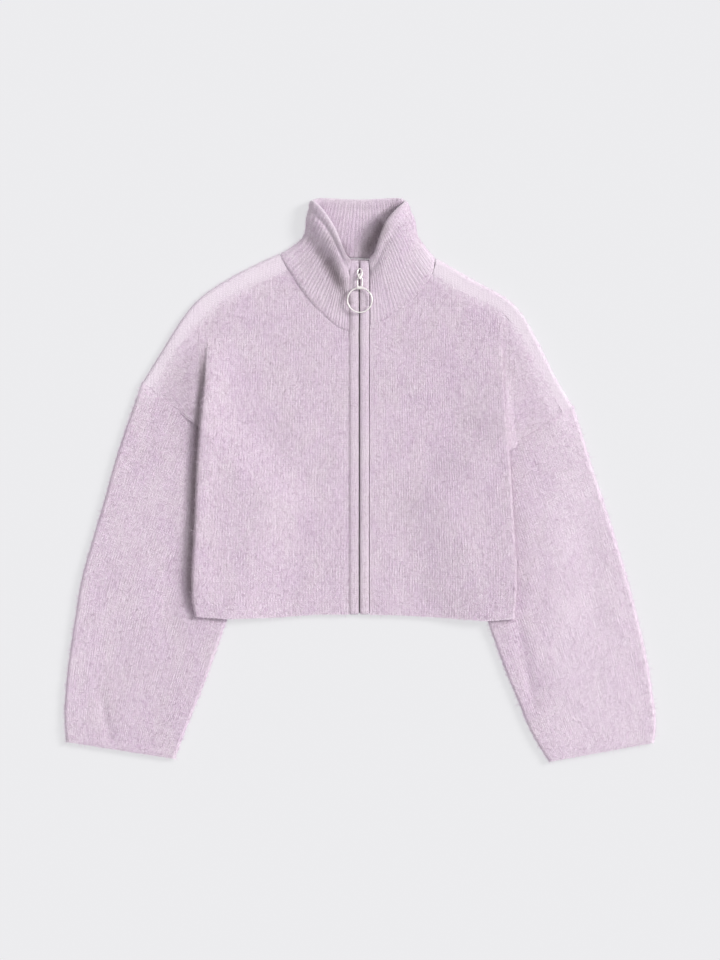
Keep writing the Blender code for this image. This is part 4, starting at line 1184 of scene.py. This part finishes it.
def heather_group():
    """Patches, flecks and fine grain of the yarn at a place in the object, as masks."""
    group = bpy.data.node_groups.new("heather", "ShaderNodeTree")
    group.interface.new_socket("Place", in_out="INPUT", socket_type="NodeSocketVector")
    for label in ("Patch", "Fleck", "Grain"):
        group.interface.new_socket(label, in_out="OUTPUT", socket_type="NodeSocketFloat")
    n = NodeSheet(group)
    place = n.add("NodeGroupInput").outputs[0]
    stretched = n.add("ShaderNodeMapping", {"Vector": place, "Scale": (1.0, 0.6, 1.0)}).outputs[0]
    patch = n.spread(n.noise(stretched, 42.0, 3.0, 0.6), 0.35, 0.65)
    fleck = n.spread(n.noise(place, 420.0, 2.0, 0.6), 0.38, 0.62)
    grain = n.spread(n.noise(place, 900.0, 2.0, 0.7), 0.3, 0.7)
    n.add("NodeGroupOutput", {0: patch, 1: fleck, 2: grain})
    return group


def set_inputs(shader, values):
    """Set a shader's inputs by name."""
    for label, value in values.items():
        shader.inputs[label].default_value = value


def new_material(name):
    """An empty material and its node sheet, shader and object coordinates."""
    made = bpy.data.materials.new(name)
    made.use_nodes = True
    tree = made.node_tree
    shader = tree.nodes["Principled BSDF"]
    sheet = NodeSheet(tree)
    place = sheet.add("ShaderNodeTexCoord").outputs["Object"]
    return made, sheet, shader, place


def knit_material(name, colours, stitch, heather, strength, gap_shade_share, tone=1.0):
    """Knitted yarn: stitch relief as a bump, heathered colour, painted shade in the gaps.

    A noise drawn out along the columns decides where the gaps show and where the
    nap covers them; the mesh's own brushed value covers more of them.
    """
    made, n, shader, place = new_material(name)
    uv = n.add("ShaderNodeUVMap", uv_map="stitch").outputs[0]
    drift = n.add("ShaderNodeTexNoise", {"Vector": uv, "Scale": 0.11, "Detail": 1.0}).outputs[1]
    bent = n.add("ShaderNodeVectorMath", {0: drift, 1: (1.1, 1.1, 0.0), 2: uv},
                 operation="MULTIPLY_ADD").outputs[0]
    knit = n.add("ShaderNodeGroup", {0: bent}, node_tree=stitch)
    drawn = n.add("ShaderNodeMapping", {"Vector": uv, "Scale": (0.85, 0.55, 1.0)}).outputs[0]
    streak = n.spread(n.noise(drawn, 1.0, 2.0, 0.6), 0.36, 0.66)
    mix = n.add("ShaderNodeGroup", {0: place}, node_tree=heather)
    nap_and_painted_light = n.attribute("brushed")
    base = n.mix(n.math("MULTIPLY", mix.outputs[0], 0.5), colours.yarn[:], colours.yarn_pale[:])
    # paler towards the hair colour where the nap is dense; on the +X sleeve and the shoulders this
    # is partly painted light
    base = n.mix(n.math("MULTIPLY", nap_and_painted_light, 0.75), base, colours.hair[:])
    # painted shade in the gaps between the stitches, where a drawn-out noise lets them show, less
    # where the nap covers them
    seen = n.math("MULTIPLY", n.math("MULTIPLY_ADD", mix.outputs[1], 0.7, 0.3), streak)
    covered_gap = n.math("MULTIPLY_ADD", nap_and_painted_light, -0.8, 1.0)
    relief_and_gap_shade = n.math("MULTIPLY", n.math("MULTIPLY", seen, gap_shade_share), covered_gap)
    base = n.mix(n.math("MULTIPLY", knit.outputs[1], relief_and_gap_shade), base, colours.deep_yarn_and_shade[:])
    speck = n.spread(n.noise(place, 820.0, 2.0, 0.7), 0.33, 0.47, 1.0, 0.0)
    base = n.mix(n.math("MULTIPLY", n.math("MULTIPLY", speck, covered_gap), 0.55),
                 base, colours.deep_yarn_and_shade[:])
    glint = n.spread(n.noise(place, 700.0, 2.0, 0.7), 0.54, 0.70)
    base = n.mix(n.math("MULTIPLY", glint, 0.6), base, colours.hair[:])
    base = n.mix(1.0, base, (tone, tone, tone), "MULTIPLY")
    # painted shade in creases, beside the bands and outside the body's folds
    painted_dark = n.attribute("painted_shade")
    base = n.mix(painted_dark, base, tuple(0.55 * part for part in colours.deep_yarn_and_shade))
    n.tree.links.new(base, shader.inputs["Base Color"])
    set_inputs(shader, {"Roughness": 1.0, "Specular IOR Level": 0.1,
                        "Sheen Weight": 0.6, "Sheen Roughness": 0.6})
    height = n.math("MULTIPLY_ADD", mix.outputs[2], 0.5, knit.outputs[0])
    bump = n.add("ShaderNodeBump", {"Strength": strength, "Distance": 0.0006, "Height": height})
    n.tree.links.new(bump.outputs[0], shader.inputs["Normal"])
    return made


def hair_material(name, colours, heather):
    """Loose fibre: pale, soft and slightly see-through, each lock a little different."""
    made, n, shader, place = new_material(name)
    shade = n.attribute("shade")
    mix = n.add("ShaderNodeGroup", {0: place}, node_tree=heather)
    base = n.mix(n.math("MULTIPLY", mix.outputs[0], 0.6), colours.yarn[:], colours.yarn_pale[:])
    nap_and_painted_light = n.attribute("brushed")
    pale = n.spread(shade, 0.45, 1.0)
    # paler where the nap is dense; on the lit +X side this is partly painted light
    base = n.mix(n.math("MAXIMUM", pale, n.math("MULTIPLY", nap_and_painted_light, 0.9)), base, colours.hair[:])
    low = n.math("MULTIPLY", n.spread(shade, 0.35, 0.0), n.math("MULTIPLY_ADD", nap_and_painted_light, -0.4, 0.5))
    base = n.mix(low, base, colours.deep_yarn_and_shade[:])
    # painted shade in creases and beside the folds
    painted_dark = n.attribute("painted_shade")
    base = n.mix(n.math("MULTIPLY", painted_dark, 0.8), base,
                 tuple(0.7 * part for part in colours.deep_yarn_and_shade))
    n.tree.links.new(base, shader.inputs["Base Color"])
    set_inputs(shader, {"Roughness": 1.0, "Specular IOR Level": 0.1})
    see = n.add("ShaderNodeBsdfTranslucent", {"Color": base})
    both = n.add("ShaderNodeMixShader", {0: 0.45, 1: shader.outputs[0], 2: see.outputs[0]})
    n.tree.links.new(both.outputs[0], n.tree.nodes["Material Output"].inputs["Surface"])
    return made


def plain_material(name, colour, roughness, metallic=0.0, grain=0.0):
    """One colour with a little uneven roughness."""
    made, n, shader, place = new_material(name)
    set_inputs(shader, {"Base Color": (*colour, 1.0), "Metallic": metallic})
    if grain:
        spot = n.noise(place, 900.0, 2.0)
        n.tree.links.new(n.spread(spot, 0.3, 0.7, roughness - grain, roughness + grain),
                         shader.inputs["Roughness"])
    else:
        shader.inputs["Roughness"].default_value = roughness
    return made


def all_materials(colours):
    """Every material of the part by name."""
    stitch, heather = stitch_group(), heather_group()
    return {
        "knit": knit_material("brushed_knit", colours, stitch, heather,
                              strength=0.8, gap_shade_share=1.6),
        "rib": knit_material("ribbed_knit", colours, stitch, heather,
                             strength=0.6, gap_shade_share=0.9, tone=0.93),
        "hair": hair_material("loose_fibre", colours, heather),
        "tape": plain_material("woven_tape", (0.36, 0.27, 0.36), 0.9),
        "teeth": plain_material("nylon_coil", tuple(colours.teeth), 0.45),
        "silver": plain_material("pale_silver", tuple(colours.silver), 0.3,
                                 metallic=0.3, grain=0.05),
    }


# ---- stage ---------------------------------------------------------------------------
def build_stage():
    """Pale floor that glows a little, even surround, one wide lamp and the camera."""
    bpy.ops.mesh.primitive_plane_add(size=8, location=(0, 0, -0.0004))
    floor = bpy.context.object
    floor.name = "floor"
    paint = bpy.data.materials.new("floor_paint")
    paint.use_nodes = True
    shader = paint.node_tree.nodes["Principled BSDF"]
    set_inputs(shader, {"Base Color": (0.24, 0.24, 0.244, 1.0),
                        "Emission Color": (0.835, 0.835, 0.855, 1.0),
                        "Emission Strength": 0.71, "Roughness": 1.0, "Specular IOR Level": 0.0})
    floor.data.materials.append(paint)

    world = bpy.data.worlds.new("surround")
    world.use_nodes = True
    sky = NodeSheet(world.node_tree)
    back = world.node_tree.nodes["Background"]
    way = sky.add("ShaderNodeSeparateXYZ", {0: sky.add("ShaderNodeTexCoord").outputs["Generated"]})
    strength = sky.spread(way.outputs[2], 0.2, 1.0, 0.30, 0.78)
    world.node_tree.links.new(strength, back.inputs["Strength"])
    back.inputs["Color"].default_value = (1.0, 1.0, 1.0, 1.0)
    bpy.context.scene.world = world

    lamp = bpy.data.lights.new("window", "SUN")
    lamp.energy = 2.6
    lamp.angle = math.radians(18)
    lamp.color = (1.0, 0.99, 0.985)
    holder = bpy.data.objects.new("window", lamp)
    holder.location = (2.4, 0.9, 1.7)
    aim(holder, (0, 0, 0))
    bpy.context.scene.collection.objects.link(holder)

    lens = bpy.data.cameras.new("camera")
    lens.lens = 220
    lens.sensor_fit = "VERTICAL"
    lens.sensor_height = 36
    eye = bpy.data.objects.new("camera", lens)
    eye.location = (0.0, 0.0006, 7.928)
    bpy.context.scene.collection.objects.link(eye)
    bpy.context.scene.camera = eye
    bpy.context.scene.view_settings.view_transform = "Standard"


def aim(thing, target):
    """Turn a lamp or camera so that its -Z looks at the target."""
    way = Vector(target) - thing.location
    thing.rotation_euler = way.to_track_quat("-Z", "Y").to_euler()


# ---- operators and panel -----------------------------------------------------------
SKINS = {}                              # outer grids the nap grows on, by piece
PAINT = {}                              # materials by name


class StepOperator:
    """What the building steps share."""
    bl_options = {"REGISTER"}

    def execute(self, context):
        """Make the materials once, then build this step's pieces."""
        if not PAINT:
            PAINT.update(all_materials(context.scene.cardigan_colours))
        self.build(context.scene.cardigan_sizes)
        return {"FINISHED"}


class CARDIGAN_OT_back(StepOperator, bpy.types.Operator):
    """Build the back with its shoulders"""
    bl_idname = "cardigan.back"
    bl_label = "Back"

    def build(self, sizes):
        """Add the back."""
        SKINS["back"] = build_back(sizes, PAINT["knit"])


class CARDIGAN_OT_fronts(StepOperator, bpy.types.Operator):
    """Build both front panels"""
    bl_idname = "cardigan.fronts"
    bl_label = "Fronts"

    def build(self, sizes):
        """Add both fronts."""
        for side in SIDES:
            SKINS[f"front_{SIDES[side]}"] = build_front(side, sizes, PAINT["knit"])


class CARDIGAN_OT_sleeves(StepOperator, bpy.types.Operator):
    """Build both sleeves"""
    bl_idname = "cardigan.sleeves"
    bl_label = "Sleeves"

    def build(self, sizes):
        """Add both sleeves."""
        for side in SIDES:
            SKINS[f"sleeve_{SIDES[side]}"] = build_sleeve(side, sizes, PAINT["knit"])


class CARDIGAN_OT_collar(StepOperator, bpy.types.Operator):
    """Build the ribbed collar"""
    bl_idname = "cardigan.collar"
    bl_label = "Collar"

    def build(self, sizes):
        """Add the collar."""
        SKINS["collar"] = build_collar(sizes, PAINT["rib"])


class CARDIGAN_OT_bands(StepOperator, bpy.types.Operator):
    """Build the knitted bands beside the zip"""
    bl_idname = "cardigan.bands"
    bl_label = "Bands"

    def build(self, sizes):
        """Add both bands."""
        for side in SIDES:
            SKINS[f"band_{SIDES[side]}"] = build_band(side, sizes, PAINT["knit"])


class CARDIGAN_OT_zip(StepOperator, bpy.types.Operator):
    """Build the zip's tapes and coil"""
    bl_idname = "cardigan.zip"
    bl_label = "Zip"

    def build(self, sizes):
        """Add tapes and coil."""
        for side in SIDES:
            SKINS[f"tape_{SIDES[side]}"] = build_tape(side, PAINT["tape"])
        build_teeth(PAINT["teeth"])


class CARDIGAN_OT_pull(StepOperator, bpy.types.Operator):
    """Build the ring and the slider, and give the link its metal"""
    bl_idname = "cardigan.pull"
    bl_label = "Pull"

    def build(self, sizes):
        """Add ring and slider, and paint the link's own node."""
        build_ring(PULL_LEVEL, PAINT["silver"])
        build_slider(PULL_LEVEL, PAINT["silver"])
        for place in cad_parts["pull_link"].material_slots:
            place.material = PAINT["silver"]


class CARDIGAN_OT_nap(StepOperator, bpy.types.Operator):
    """Grow the brushed nap on every knitted piece"""
    bl_idname = "cardigan.nap"
    bl_label = "Nap"

    def build(self, sizes):
        """Add one piece of nap for each knitted piece."""
        if "collar" not in SKINS or "back" not in SKINS:
            raise RuntimeError("the cloth has to be built before its nap")
        hair = PAINT["hair"]
        for place, side in enumerate(SIDES):
            label = SIDES[side]
            _, grid, normal, kept = SKINS[f"front_{label}"]
            SKINS[f"nap_front_{label}"] = grow_hair(
                f"nap_front_{label}", [(grid, normal, kept)], sizes, hair, 100 + place)
            _, grid, normal = SKINS[f"sleeve_{label}"]
            SKINS[f"nap_sleeve_{label}"] = grow_hair(
                f"nap_sleeve_{label}", [(grid, normal, None)], sizes, hair, 200 + place)
            _, grid, normal = SKINS[f"band_{label}"]
            SKINS[f"nap_band_{label}"] = grow_hair(
                f"nap_band_{label}", [(grid, normal, None)], sizes, hair, 500 + place,
                density=0.9, length_scale=0.5)
        _, grid, normal, kept = SKINS["back"]
        yoke = (grid[:YOKE_ROWS + 1], normal[:YOKE_ROWS + 1], kept[:YOKE_ROWS])
        SKINS["nap_back"] = grow_hair("nap_back", [yoke], sizes, hair, 300)
        _, (grid, normal), (low_grid, low_normal) = SKINS["collar"]
        weight = np.ones((len(grid) - 1, grid.shape[1] - 1))
        weight[:2] = 2
        SKINS["nap_collar"] = grow_hair(
            "nap_collar", [(grid, normal, weight), (low_grid, low_normal, None)],
            sizes, hair, 400, density=1.3, length_scale=0.6)


class CARDIGAN_OT_stage(StepOperator, bpy.types.Operator):
    """Set up floor, light and camera"""
    bl_idname = "cardigan.stage"
    bl_label = "Stage"

    def build(self, sizes):
        """Add floor, surround, lamp and camera."""
        build_stage()


class CARDIGAN_PT_panel(bpy.types.Panel):
    """Sizes, colours and the building steps"""
    bl_idname = "CARDIGAN_PT_panel"
    bl_label = "Cardigan"
    bl_space_type = "VIEW_3D"
    bl_region_type = "UI"
    bl_category = "Cardigan"

    def draw(self, context):
        """List every property and every step."""
        for group in (context.scene.cardigan_sizes, context.scene.cardigan_colours):
            for label in group.bl_rna.properties.keys():
                if label not in ("name", "rna_type"):
                    self.layout.prop(group, label)
        for step in STEPS:
            self.layout.operator(step.bl_idname)


STEPS = (CARDIGAN_OT_back, CARDIGAN_OT_sleeves, CARDIGAN_OT_fronts, CARDIGAN_OT_collar,
         CARDIGAN_OT_bands, CARDIGAN_OT_zip, CARDIGAN_OT_pull, CARDIGAN_OT_nap,
         CARDIGAN_OT_stage)
CLASSES = (CardiganSizes, CardiganColours) + STEPS + (CARDIGAN_PT_panel,)


def register():
    """Register every class and hang the settings on the scene."""
    for kind in CLASSES:
        bpy.utils.register_class(kind)
    bpy.types.Scene.cardigan_sizes = PointerProperty(type=CardiganSizes)
    bpy.types.Scene.cardigan_colours = PointerProperty(type=CardiganColours)


def unregister():
    """Take settings and classes away again."""
    del bpy.types.Scene.cardigan_sizes
    del bpy.types.Scene.cardigan_colours
    for kind in reversed(CLASSES):
        bpy.utils.unregister_class(kind)


def main():
    register()
    for step in STEPS:
        group, call = step.bl_idname.split(".")
        getattr(getattr(bpy.ops, group), call)()


if __name__ == "__main__":
    main()
